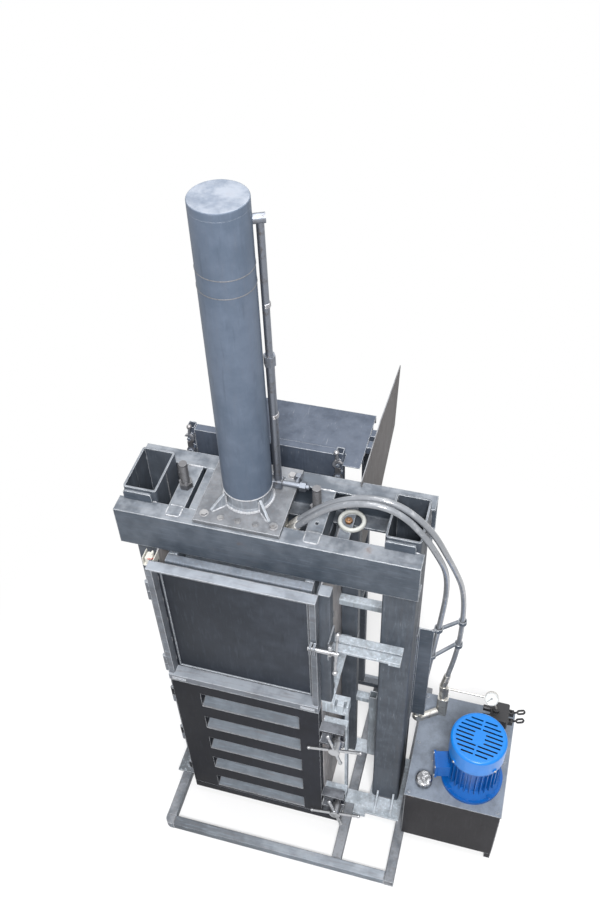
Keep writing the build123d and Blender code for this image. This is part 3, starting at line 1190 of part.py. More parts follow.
def ram():
    """Platen with its frame and guide shoes, and the rod with its piston."""
    plate_top = PLATEN_BOTTOM + PLATEN_T
    front = CHAMBER_FRONT_Y + PLATEN_SIDE_GAP
    rear = CHAMBER_REAR_Y - PLATEN_SIDE_GAP
    plate = block((-PLATEN_HALF_W, PLATEN_HALF_W), (front, rear), (PLATEN_BOTTOM, plate_top))
    parts = [plate]
    x_out = PLATEN_HALF_W - PLATEN_BAR_INSET
    y_in = front + PLATEN_BAR_INSET
    y_out = rear - PLATEN_BAR_INSET
    z = (plate_top, PLATEN_TOP)
    for y in ((y_in, y_in + PLATEN_BAR_W), (y_out - PLATEN_BAR_W, y_out)):
        parts.append(square_tube((-x_out, x_out), y, z, "x"))
    bar_y = (y_in + PLATEN_BAR_W, y_out - PLATEN_BAR_W)
    for x in ((-x_out, -x_out + PLATEN_BAR_W), (x_out - PLATEN_BAR_W, x_out)):
        parts.append(square_tube(x, bar_y, z, "y"))
    boss_r = ROD_R + PLATEN_BOSS_T
    boss_h = PLATEN_FRAME_H * 0.55
    parts.append(ring((0, 0, plate_top), "z", boss_r, ROD_R, boss_h))
    for side in (-1, 1):
        x = sorted((side * (boss_r + GAP), side * (x_out - PLATEN_BAR_W)))
        rib_y = (-PLATEN_RIB_HALF, PLATEN_RIB_HALF)
        parts.append(block(x, rib_y, (plate_top, plate_top + boss_h)))
    for side in (-1, 1):
        x = sorted((side * PLATEN_HALF_W, side * (PLATEN_HALF_W + SHOE_T)))
        for y0 in (front + SHOE_INSET, rear - SHOE_INSET - SHOE_L):
            parts.append(block(x, (y0, y0 + SHOE_L), (PLATEN_BOTTOM, plate_top)))
    piston_low = BARREL_TOP - PISTON_TOP_GAP - PISTON_H
    shaft = rod((0, 0, plate_top), "z", ROD_R - RUN, piston_low - plate_top)
    shaft += rod((0, 0, piston_low), "z", BARREL_BORE_R - RUN, PISTON_H)
    return {"platen": parts, "ram_rod": [shaft]}


def limit_switch():
    """Small switch in an open bracket on the left post, with a turning roller arm."""
    x = (-CHAMBER_HALF_W - POST, -CHAMBER_HALF_W)
    y = (CHAMBER_FRONT_Y, CHAMBER_FRONT_Y + POST)
    low = BEAM_BOTTOM - SWITCH_DROP
    t = SWITCH_SHEET
    bracket = block(x, y, (low, low + t))
    for side in ((x[0], x[0] + t), (x[1] - t, x[1])):
        bracket += block(side, y, (low + t, BEAM_BOTTOM))
    body_x = (x[0] + t + SWITCH_SIDE, x[1] - t - SWITCH_ARM_SIDE)
    body_y = (y[0] + SWITCH_SIDE, y[1] - SWITCH_ROLLER_R)
    body = block(body_x, body_y, (low + t, BEAM_BOTTOM - SWITCH_SIDE))
    body = fillet(body.edges().filter_by(Axis.Z), t)
    pivot_y = (y[0] + y[1]) / 2
    pivot_z = BEAM_BOTTOM - SWITCH_PIVOT_DROP
    pin = rod((body_x[1], pivot_y, pivot_z), "x", SWITCH_PIN_R, SWITCH_PIN_L)
    arm_x = body_x[1] + GAP
    arm_y = (pivot_y - SWITCH_ARM_HALF, pivot_y + SWITCH_ARM_HALF)
    arm_z = (pivot_z - SWITCH_ARM_HALF - 1, pivot_z + SWITCH_ARM_L)
    arm = block((arm_x, arm_x + SWITCH_ARM_T), arm_y, arm_z)
    arm += rod((arm_x, pivot_y, arm_z[1]), "x", SWITCH_ROLLER_R, SWITCH_ROLLER_W)
    arm -= rod((arm_x, pivot_y, pivot_z), "x", SWITCH_PIN_R + RUN, SWITCH_ROLLER_W)
    return {"limit_switch": [bracket, body + pin], "switch_arm": [arm]}


def tank():
    """Welded oil tank with its lid, legs and filler neck."""
    x = (TANK_LEFT_X, TANK_LEFT_X + TANK_W)
    y = (TANK_FRONT_Y, TANK_FRONT_Y + TANK_D)
    shell = block(x, y, (TANK_BOTTOM, TANK_TOP))
    inside = (TANK_BOTTOM + SHEET, TANK_TOP)
    shell -= block((x[0] + SHEET, x[1] - SHEET), (y[0] + SHEET, y[1] - SHEET), inside)
    legs = []
    for leg_y in ((y[0], y[0] + TANK_LEG_W), (y[1] - TANK_LEG_W, y[1])):
        legs.append(block((x[1] - TANK_LEG_W, x[1]), leg_y, (0, TANK_BOTTOM)))
    lid_y = (y[0] - LID_OVER, y[1] + LID_OVER)
    lid = block((x[0] - LID_OVER, x[1] + LID_OVER), lid_y, (TANK_TOP, LID_TOP))
    lid -= rod((MOTOR_X, MOTOR_Y, TANK_TOP), "z", PUMP_HOLE_R, LID_T)
    neck = ring((BREATHER_X, BREATHER_Y, LID_TOP), "z", BREATHER_R * 0.8, BREATHER_R * 0.6,
                BREATHER_NECK_H)
    lid -= rod((BREATHER_X, BREATHER_Y, TANK_TOP), "z", BREATHER_R * 0.6, LID_T)
    screws = []
    for sx in (x[0] + LID_SCREW_INSET, x[1] - LID_SCREW_INSET):
        for sy in (y[0] + LID_SCREW_INSET, (y[0] + y[1]) / 2, y[1] - LID_SCREW_INSET):
            screws.append(hexagon((sx, sy, LID_TOP), "z", LID_SCREW_AF, LID_SCREW_H))
    low = LID_TOP + BREATHER_NECK_H + GAP
    cap = rod((BREATHER_X, BREATHER_Y, low), "z", BREATHER_R, BREATHER_H)
    cap = fillet(cap.edges().group_by(Axis.Z)[-1], BREATHER_ROUND)
    for k in range(BREATHER_RIBS):
        spot = polar((BREATHER_X, BREATHER_Y), 360 * k / BREATHER_RIBS, BREATHER_R)
        cap -= rod((*spot, low), "z", BREATHER_RIB_R, BREATHER_H * 0.55)
    cap += rod((BREATHER_X, BREATHER_Y, LID_TOP + GAP), "z", BREATHER_R * 0.6 - GAP, low - LID_TOP - GAP)
    return {"tank_body": [shell] + legs, "tank_lid": [lid, neck] + screws, "breather_cap": [cap]}


def motor():
    """Flange motor standing on the lid, its cowl and fan, and the pump hung below."""
    center = (MOTOR_X, MOTOR_Y)
    flange_z = LID_TOP
    body = rod((*center, flange_z), "z", MOTOR_FLANGE_R, MOTOR_FLANGE_T)
    bell_top = MOTOR_BODY_BOTTOM
    bell = Pos(*center, flange_z + MOTOR_FLANGE_T) * Cone(
        MOTOR_FIN_R + MOTOR_BELL_OVER, MOTOR_BODY_R, bell_top - flange_z - MOTOR_FLANGE_T,
        align=(Align.CENTER, Align.CENTER, Align.MIN))
    body += bell
    body += rod((*center, bell_top), "z", MOTOR_BODY_R, MOTOR_BODY_TOP - bell_top)
    body += rod((*center, MOTOR_BODY_TOP - END_SHIELD_T), "z", COVER_R, END_SHIELD_T)
    fin_z = (bell_top + MOTOR_FIN_END, MOTOR_BODY_TOP - END_SHIELD_T)
    for k in range(MOTOR_FIN_COUNT):
        angle = 360.0 * k / MOTOR_FIN_COUNT
        fin_x = (MOTOR_BODY_R - MOTOR_FIN_ROOT, MOTOR_FIN_R)
        fin = block(fin_x, (-MOTOR_FIN_T / 2, MOTOR_FIN_T / 2), fin_z)
        body += Pos(*center, 0) * (Rot(0, 0, angle) * fin)
    for k in range(4):
        spot = polar(center, 45 + 90 * k, MOTOR_FLANGE_R - MOTOR_FLANGE_BOLT_IN)
        body += hexagon((*spot, flange_z + MOTOR_FLANGE_T), "z", MOTOR_FLANGE_BOLT_AF,
                        MOTOR_FLANGE_BOLT_H)
    box_turn = Rot(0, 0, TERMINAL_AT)
    reach = MOTOR_FIN_R + TERMINAL_OUT
    half_w = TERMINAL_HALF_W
    terminal_z = (TERMINAL_Z, TERMINAL_Z + TERMINAL_H)
    terminal = block((MOTOR_BODY_R - MOTOR_FIN_ROOT, reach), (-half_w, half_w), terminal_z)
    terminal = fillet(terminal.edges().filter_by(Axis.Z), TERMINAL_ROUND)
    half_w += TERMINAL_LID
    lid_z = (terminal_z[0] - TERMINAL_LID, terminal_z[1] + TERMINAL_LID)
    terminal += block((reach, reach + TERMINAL_LID_T), (-half_w, half_w), lid_z)
    body += Pos(*center, 0) * (box_turn * terminal)
    body -= rod((*center, flange_z), "z", SHAFT_R + RUN, MOTOR_BODY_TOP - flange_z)

    cover_z = MOTOR_BODY_TOP
    cover = rod((*center, cover_z), "z", COVER_R, COVER_H)
    cover = fillet(cover.edges().group_by(Axis.Z)[-1], COVER_ROUND)
    hollow = rod((*center, cover_z), "z", COVER_R - COVER_T, COVER_H - COVER_T)
    cover -= fillet(hollow.edges().group_by(Axis.Z)[-1], COVER_ROUND - COVER_T)
    slot_z = (cover_z + COVER_H - COVER_T - 1, cover_z + COVER_H + 1)
    for k in range(GRILLE_ROWS):
        offset = (k - (GRILLE_ROWS - 1) / 2) * GRILLE_PITCH
        half = sqrt((COVER_R - GRILLE_RIM) ** 2 - offset ** 2)
        slot_y = (offset - GRILLE_SLOT_HALF, offset + GRILLE_SLOT_HALF)
        for side in (-1, 1):
            inner = GRILLE_HUB if abs(offset) < GRILLE_HUB_REACH else GRILLE_BRIDGE
            slot = block(sorted((side * inner, side * half)), slot_y, slot_z)
            cover -= Pos(*center, 0) * (Rot(0, 0, GRILLE_AT) * slot)
    lug_low = cover_z + COVER_LUG_LOW
    for k in range(4):
        lug = block((COVER_R - COVER_T, COVER_R + COVER_LUG_OUT), (-COVER_LUG_HALF, COVER_LUG_HALF),
                    (lug_low, lug_low + COVER_LUG_H))
        cover += Pos(*center, 0) * (Rot(0, 0, 45 + 90 * k) * lug)

    fan_low = cover_z + FAN_RISE
    fan_top = fan_low + FAN_HUB_H
    pump_top = TANK_TOP - PUMP_DROP
    shaft_low = pump_top + PUMP_FLOOR_T + 1
    fan = rod((*center, shaft_low), "z", SHAFT_R, fan_top + SHAFT_OVER - shaft_low)
    fan += ring((*center, fan_low), "z", FAN_HUB_R, SHAFT_R, FAN_HUB_H)
    fan += ring((*center, fan_low), "z", FAN_R, FAN_DISC_IN_R, FAN_DISC_T)
    for k in range(FAN_BLADES):
        blade = block((FAN_HUB_R - FAN_BLADE_HALF, FAN_R), (-FAN_BLADE_HALF, FAN_BLADE_HALF),
                      (fan_low + FAN_DISC_T - 1, fan_top))
        fan += Pos(*center, 0) * (Rot(0, 0, 360 * k / FAN_BLADES) * blade)
    pump = rod((*center, pump_top), "z", PUMP_HOLE_R - GAP, LID_TOP - pump_top)
    pump -= rod((*center, pump_top + PUMP_FLOOR_T), "z", SHAFT_R + SHAFT_CLEAR, LID_TOP - pump_top)
    pump_x = (MOTOR_X - PUMP_HALF_W, MOTOR_X + PUMP_HALF_W)
    pump_y = (MOTOR_Y - PUMP_HALF_D, MOTOR_Y + PUMP_HALF_D)
    pump_low = pump_top - PUMP_H
    pump_body = block(pump_x, pump_y, (pump_low, pump_top))
    strainer_low = TANK_BOTTOM + STRAINER_LIFT
    strainer = rod((*center, strainer_low), "z", STRAINER_R, pump_low - strainer_low)
    return {"motor_body": [body], "fan_cover": [cover], "motor_fan": [fan],
            "pump_unit": [pump, pump_body, strainer]}


def valve():
    """Two-spool valve on a stand, its levers, the gauge and its needle."""
    x, y, z = VALVE_X, VALVE_Y, VALVE_Z
    foot_x, foot_y, foot_h = VALVE_FOOT
    stem_x, stem_y = VALVE_STEM
    stand = block((x - foot_x, x + foot_x), (y - foot_y, y + foot_y), (LID_TOP, LID_TOP + foot_h))
    stand += block((x - stem_x, x + stem_x), (y - stem_y, y + stem_y), (LID_TOP + foot_h, z))
    face = x + VALVE_HALF_W
    body = block((x - VALVE_HALF_W, face), (y - VALVE_HALF_D, y + VALVE_HALF_D), (z, z + VALVE_H))
    body = chamfer(body.edges().filter_by(Axis.Z), VALVE_CHAMFER)
    body += rod((x - PORT_OFF, y, z + VALVE_H), "z", PORT_R, PORT_H)
    pivot_x = x + LEVER_PIVOT_X
    levers = {}
    for name, dy in zip(("valve_lever_left", "valve_lever_right"), VALVE_SPOOLS):
        spool = (x - VALVE_HALF_W - SPOOL_L, y + dy, z + SPOOL_Z)
        body += rod(spool, "x", SPOOL_R, SPOOL_L)
        body += rod((face, y + dy, z + SPOOL_Z), "x", SPOOL_OUT_R, pivot_x - face - SPOOL_OUT_R)
        for side in (-1, 1):
            fork_y = sorted((y + dy + side * FORK_OFF, y + dy + side * (FORK_OFF + FORK_T)))
            body += block((face, pivot_x + FORK_OFF), fork_y, (z + FORK_Z[0], z + FORK_Z[1]))
        pivot = (pivot_x, y + dy, z + LEVER_PIVOT_Z)
        body += rod((pivot_x, y + dy - FORK_OFF, pivot[2]), "y", LEVER_PIN_R, 2 * FORK_OFF)
        levers[name] = [valve_lever(pivot, (x + LEVER_TIP, y + dy, z + LEVER_TIP_Z))]
    result = {"valve_block": [stand + body]}
    result.update(levers)
    result.update(gauge())
    return result


def valve_lever(pivot, tip):
    """Lever with a hub on its pin and a looped grip."""
    hub_y = pivot[1] - LEVER_HALF_W
    arm = rod((pivot[0], hub_y, pivot[2]), "y", LEVER_PIVOT_R, 2 * LEVER_HALF_W)
    reach = Vector(*tip) - Vector(*pivot)
    near = Vector(*pivot) + reach * LEVER_NEAR
    arm += bar_between(pivot, tuple(near + reach * 0.08), LEVER_ROD_R)
    plane = Plane(origin=near, x_dir=reach, z_dir=Vector(0, 1, 0).cross(reach))
    loop_l = reach.length * (1 - LEVER_NEAR)
    inside = SlotOverall(loop_l - 2 * LEVER_LOOP_BAR, LEVER_LOOP_W - 2 * LEVER_LOOP_BAR)
    outline = plane * Pos(loop_l / 2, 0) * (SlotOverall(loop_l, LEVER_LOOP_W) - inside)
    arm += extrude(outline, LEVER_LOOP_HALF_T, both=True)
    return arm - rod((pivot[0], hub_y, pivot[2]), "y", LEVER_PIN_R + RUN, 2 * LEVER_HALF_W)


def gauge():
    """Round gauge on its stem, and the needle on the post of its open face."""
    below = (Align.CENTER, Align.CENTER, Align.MAX)
    above = (Align.CENTER, Align.CENTER, Align.MIN)
    place = Pos(GAUGE_X, GAUGE_Y, GAUGE_Z) * Rot(GAUGE_TILT, 0, 0)
    bezel = Cylinder(GAUGE_R, GAUGE_CASE_D, align=below)
    bezel -= Cylinder(GAUGE_R - GAUGE_RIM, GAUGE_FACE_DEEP, align=below)
    floor = Pos(0, 0, -GAUGE_FACE_DEEP)
    case = place * (bezel + floor * Cylinder(GAUGE_POST_R, GAUGE_POST_L, align=above))
    port_top = VALVE_Z + VALVE_H + PORT_H
    low = (VALVE_X - PORT_OFF, VALVE_Y, port_top - GAUGE_STEM_OFF[2])
    high = (GAUGE_X + GAUGE_STEM_OFF[0], GAUGE_Y + GAUGE_STEM_OFF[1], GAUGE_Z - GAUGE_R + GAUGE_STEM_OFF[2])
    stem = bar_between(low, high, GAUGE_STEM_R)
    port_x = (VALVE_X - VALVE_HALF_W, VALVE_X)
    stem -= block(port_x, (VALVE_Y - VALVE_HALF_W, VALVE_Y + VALVE_HALF_W), (VALVE_Z, port_top))
    lift = Pos(0, 0, NEEDLE_T - GAUGE_FACE_DEEP)
    pointer = Box(NEEDLE_W, GAUGE_R * NEEDLE_SHARE, NEEDLE_T, align=(Align.CENTER, Align.MIN, Align.MIN))
    pointer = Rot(0, 0, NEEDLE_START) * (lift * pointer)
    pointer += lift * Cylinder(NEEDLE_HUB_R, NEEDLE_T, align=above)
    pointer -= floor * Cylinder(GAUGE_POST_R + RUN, 2 * GAUGE_POST_L, align=above)
    return {"pressure_gauge": [case + stem], "gauge_needle": [place * pointer]}


def hose_route(over, down):
    """Points of a hose from its two listed stretches."""
    along = (BEAM_RIGHT_X - PLATE_HALF) / HOSE_SPAN
    drop = (BEAM_TOP - LID_TOP) / HOSE_DROP
    points = [(PLATE_HALF + x * along, y, BEAM_TOP + z) for x, y, z in over]
    return points + [(BEAM_RIGHT_X + x, y, LID_TOP + z * drop) for x, y, z in down]


def hose(points):
    """Round hose along straight runs joined by arcs as large as the runs allow."""
    corners = [Vector(*p) for p in points]
    radii = []
    for before, here, after in zip(corners, corners[1:], corners[2:]):
        first, second = here - before, after - here
        turn = radians(first.get_angle(second))
        radii.append(0.45 * min(first.length, second.length) / tan(turn / 2))
    path = FilletPolyline(*[tuple(c) for c in corners], radius=radii)
    plane = Plane(origin=corners[0], z_dir=corners[1] - corners[0])
    return sweep(plane * Circle(HOSE_R), path=path)


def hose_start(routes):
    """Block below the flange plate with the two nipples that the hoses leave from."""
    ends = []
    for points in routes:
        start, second = Vector(*points[0]), Vector(*points[1])
        back = (start - second).normalized()
        ends.append((start, start + back * PORT_NIPPLE_L))
    mid_y = (ends[0][0].Y + ends[1][0].Y) / 2
    low = min(end.Z for _, end in ends) - PORT_BELOW
    port_y = (mid_y - PORT_HALF_D, mid_y + PORT_HALF_D)
    port = block((PLATE_HALF - PORT_LENGTH, PLATE_HALF), port_y, (low, BEAM_TOP))
    for start, end in ends:
        port += bar_between(tuple(start), tuple(end), HOSE_R + 1)
    return port


def manifold(outer, inner):
    """Filter block behind the motor, the elbow beside it and the thin gauge pipe."""
    outer_end = Vector(*outer[-1])
    outer_dir = (outer_end - Vector(*outer[-2])).normalized()
    inner_end = Vector(*inner[-1])
    inner_dir = (inner_end - Vector(*inner[-2])).normalized()
    top = LID_TOP + MANIFOLD_H
    body = block(MANIFOLD_X, MANIFOLD_Y, (LID_TOP, top))
    body = chamfer(body.edges().filter_by(Axis.Z), MANIFOLD_CHAMFER)
    mid = Vector(sum(MANIFOLD_X) / 2, sum(MANIFOLD_Y) / 2, top - NECK_DROP)
    ferrule_r = HOSE_R + FERRULE_T
    ferrule_end = outer_end + outer_dir * FERRULE_OUTER_L
    body += bar_between(tuple(outer_end), tuple(ferrule_end), ferrule_r)
    body += bar_between(tuple(ferrule_end - outer_dir * NECK_LAP), tuple(mid), HOSE_R + NECK_T)

    drop = inner_end + inner_dir * FERRULE_INNER_L
    body += bar_between(tuple(inner_end), tuple(drop), ferrule_r)
    low = Vector(drop.X + ELBOW_BEND, drop.Y, drop.Z - ELBOW_BEND)
    far = Vector(MANIFOLD_X[0] + ELBOW_LAP, drop.Y + ELBOW_REACH, low.Z)
    bend = ELBOW_BEND * 0.7
    route = FilletPolyline(tuple(drop), (drop.X, drop.Y, low.Z), tuple(far), radius=bend)
    body += sweep(Plane(origin=tuple(drop), z_dir=(0, 0, -1)) * Circle(ELBOW_R), path=route)
    tilt = radians(GAUGE_TILT)
    pipe_y = GAUGE_Y + sin(tilt) * GAUGE_CASE_D / 2
    pipe_z = GAUGE_Z - cos(tilt) * GAUGE_CASE_D / 2
    start_x = MANIFOLD_X[1] - THIN_STEM_IN
    stem_low = top - THIN_PIPE_R
    stem_top = pipe_z + THIN_PIPE_R + THIN_STEM_OVER
    stem = rod((start_x, pipe_y, stem_low), "z", THIN_STEM_R, stem_top - stem_low)
    pipe_end = GAUGE_X - GAUGE_R - RUN
    pipe = rod((start_x, pipe_y, pipe_z), "x", THIN_PIPE_R, pipe_end - start_x)
    return body + stem + pipe


def on_route(points, level):
    """Where a route of points passes a height on its way down."""
    for a, b in zip(points[4:], points[5:]):
        if a[2] >= level >= b[2]:
            t = (a[2] - level) / (a[2] - b[2])
            return (a[0] + t * (b[0] - a[0]), a[1] + t * (b[1] - a[1]))
    raise ValueError("the route does not pass this height")


def hose_bracket(outer, inner):
    """Angle beside the right column with two arms that carry the hoses."""
    x = BRACKET_X
    y = COL_HALF_D - BRACKET_BACK
    plate = block(x, (y, y + BRACKET_T), BRACKET_Z)
    plate += block((x[0], x[0] + BRACKET_T), (y - BRACKET_SIDE_D, y), BRACKET_Z)
    for level in CLIP_LEVELS:
        clips = [on_route(points, level) for points in (inner, outer)]
        start = (x[1] - BRACKET_SIDE_D / 2, y + BRACKET_T + CLIP_GAP - GAP, level)
        end = (clips[1][0] - HOSE_R, clips[1][1], level)
        arm = bar_between(start, end, CLIP_ARM_R)
        for point in clips:
            arm += rod((*point, level - CLIP_HALF_H), "z", HOSE_R + CLIP_WALL, 2 * CLIP_HALF_H)
            arm -= rod((*point, level - 3 * CLIP_HALF_H), "z", HOSE_R + CLIP_GAP, 6 * CLIP_HALF_H)
        plate += arm
    return [plate]


def main():
    """Build every piece and write it out."""
    nodes = {}
    nodes.update(base())
    nodes["column_left"] = column(COL_LEFT)
    nodes["column_right"] = column(COL_RIGHT)
    nodes.update(crosshead())
    nodes.update(bearers())
    nodes.update(cylinder())
    nodes.update(return_pipe())
    nodes.update(chamber())
    nodes.update(ties())
    nodes.update(rear_feed())
    hooks, hook_pivots = rear_hooks()
    nodes.update(hooks)
    nodes["rear_panel"] += hook_pivots
    fixed = []
    upper, lower = [], []
    for level in knuckle_levels(UPPER_DOOR_BOTTOM, BEAM_BOTTOM - SWITCH_DROP, 2):
        still, moving = hinge_pair(level)
        fixed.append(still)
        upper.append(moving)
    for level in knuckle_levels(LOWER_DOOR_BOTTOM, LOWER_DOOR_TOP, 3):
        still, moving = hinge_pair(level)
        fixed.append(still)
        lower.append(moving)
    nodes["hinge_fixed"] = fixed
    nodes.update(upper_door(upper))
    nodes.update(lower_door(lower))
    latch, keeper = upper_latch()
    nodes["upper_latch"] = latch
    nodes["latch_keeper"] = keeper
    nodes["clamp_anchors"] = [clamp_anchor(level) for level in (CLAMP_UPPER_Z, CLAMP_LOWER_Z)]
    nodes["clamp_anchors"] += clamp_strip()
    for name, level in (("upper", CLAMP_UPPER_Z), ("lower", CLAMP_LOWER_Z)):
        nodes["clamp_screw_" + name] = [clamp(level)]
        nodes["clamp_collar_" + name] = [collar(level)]
    nodes.update(ram())
    nodes.update(limit_switch())
    nodes.update(tank())
    nodes.update(motor())
    nodes.update(valve())
    outer = hose_route(HOSE_OUTER_OVER, HOSE_OUTER_DOWN)
    inner = hose_route(HOSE_INNER_OVER, HOSE_INNER_DOWN)
    nodes["hoses"] = [hose(outer), hose(inner)]
    nodes["hose_ports"] = [hose_start((outer, inner))]
    nodes["oil_manifold"] = [manifold(outer, inner)]
    nodes["hose_bracket"] = hose_bracket(outer, inner)

    os.makedirs("parts", exist_ok=True)
    for name, solids in nodes.items():
        export_step(joined(solids), f"parts/{name}.step")
    print(len(nodes), "pieces")


if __name__ == "__main__":
    main()
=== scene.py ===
"""Looks of the vertical recycling baler: finishes, welds, threads, hoses, stage and camera.

Lengths are in metres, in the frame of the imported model. The origin is on the floor, on the
ram's axis. +X points right as seen from the doors, +Y to the feed table and +Z up."""
import logging
import math
import random
from dataclasses import dataclass
from enum import Enum
from typing import Protocol, Sequence, Union

import bmesh
import bpy
from mathutils import Matrix, Vector

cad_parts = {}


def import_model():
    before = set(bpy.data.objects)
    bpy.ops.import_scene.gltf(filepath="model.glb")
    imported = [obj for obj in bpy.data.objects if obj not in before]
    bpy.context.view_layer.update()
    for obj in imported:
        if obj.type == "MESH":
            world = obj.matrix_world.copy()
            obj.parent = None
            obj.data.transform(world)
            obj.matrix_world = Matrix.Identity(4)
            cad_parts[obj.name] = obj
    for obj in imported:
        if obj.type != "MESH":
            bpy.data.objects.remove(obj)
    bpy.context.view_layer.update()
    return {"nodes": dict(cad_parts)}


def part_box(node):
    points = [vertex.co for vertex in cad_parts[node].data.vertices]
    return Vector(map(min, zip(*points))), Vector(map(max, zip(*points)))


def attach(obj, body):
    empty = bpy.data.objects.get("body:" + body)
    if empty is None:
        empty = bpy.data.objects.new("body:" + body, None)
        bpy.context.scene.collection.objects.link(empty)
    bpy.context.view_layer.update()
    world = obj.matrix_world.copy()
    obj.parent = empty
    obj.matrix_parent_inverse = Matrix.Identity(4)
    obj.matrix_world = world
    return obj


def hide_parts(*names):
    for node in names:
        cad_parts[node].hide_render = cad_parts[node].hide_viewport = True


LOG = logging.getLogger("baler")

Colour = tuple[float, float, float]
Value = Union["Wire", float, tuple]


class Body(str, Enum):
    """Rigid bodies that the dressing rides on."""

    FRAME = "frame"
    UPPER_DOOR = "upper_door"
    LOWER_DOOR = "lower_door"
    SCREW_UPPER = "clamp_screw_upper"
    SCREW_LOWER = "clamp_screw_lower"


class Wire:
    """A shader value whose arithmetic adds Math nodes to its graph."""

    def __init__(self, graph: "Graph", socket: bpy.types.NodeSocket) -> None:
        """Keep the graph and the output socket that this value comes from."""
        self.graph = graph
        self.socket = socket

    def _math(self, operation: str, first: Value, second: Value) -> "Wire":
        """Add one Math node.

        Args:
            operation: name of the Math node's operation.
            first: left value.
            second: right value.

        Returns:
            The result as a new value.
        """
        node = self.graph.node("ShaderNodeMath", {"operation": operation}, {0: first, 1: second})
        return Wire(self.graph, node.outputs[0])

    def __add__(self, other: Value) -> "Wire":
        """Sum with a value or number."""
        return self._math("ADD", self, other)

    def __radd__(self, other: Value) -> "Wire":
        """Sum with a number on the left."""
        return self._math("ADD", other, self)

    def __sub__(self, other: Value) -> "Wire":
        """Difference from a value or number."""
        return self._math("SUBTRACT", self, other)

    def __rsub__(self, other: Value) -> "Wire":
        """Difference of a number on the left."""
        return self._math("SUBTRACT", other, self)

    def __mul__(self, other: Value) -> "Wire":
        """Product with a value or number."""
        return self._math("MULTIPLY", self, other)

    def __rmul__(self, other: Value) -> "Wire":
        """Product with a number on the left."""
        return self._math("MULTIPLY", other, self)

    def __or__(self, other: Value) -> "Wire":
        """The larger of two values."""
        return self._math("MAXIMUM", self, other)

    def __ror__(self, other: Value) -> "Wire":
        """The larger of this value and a number on the left."""
        return self._math("MAXIMUM", other, self)


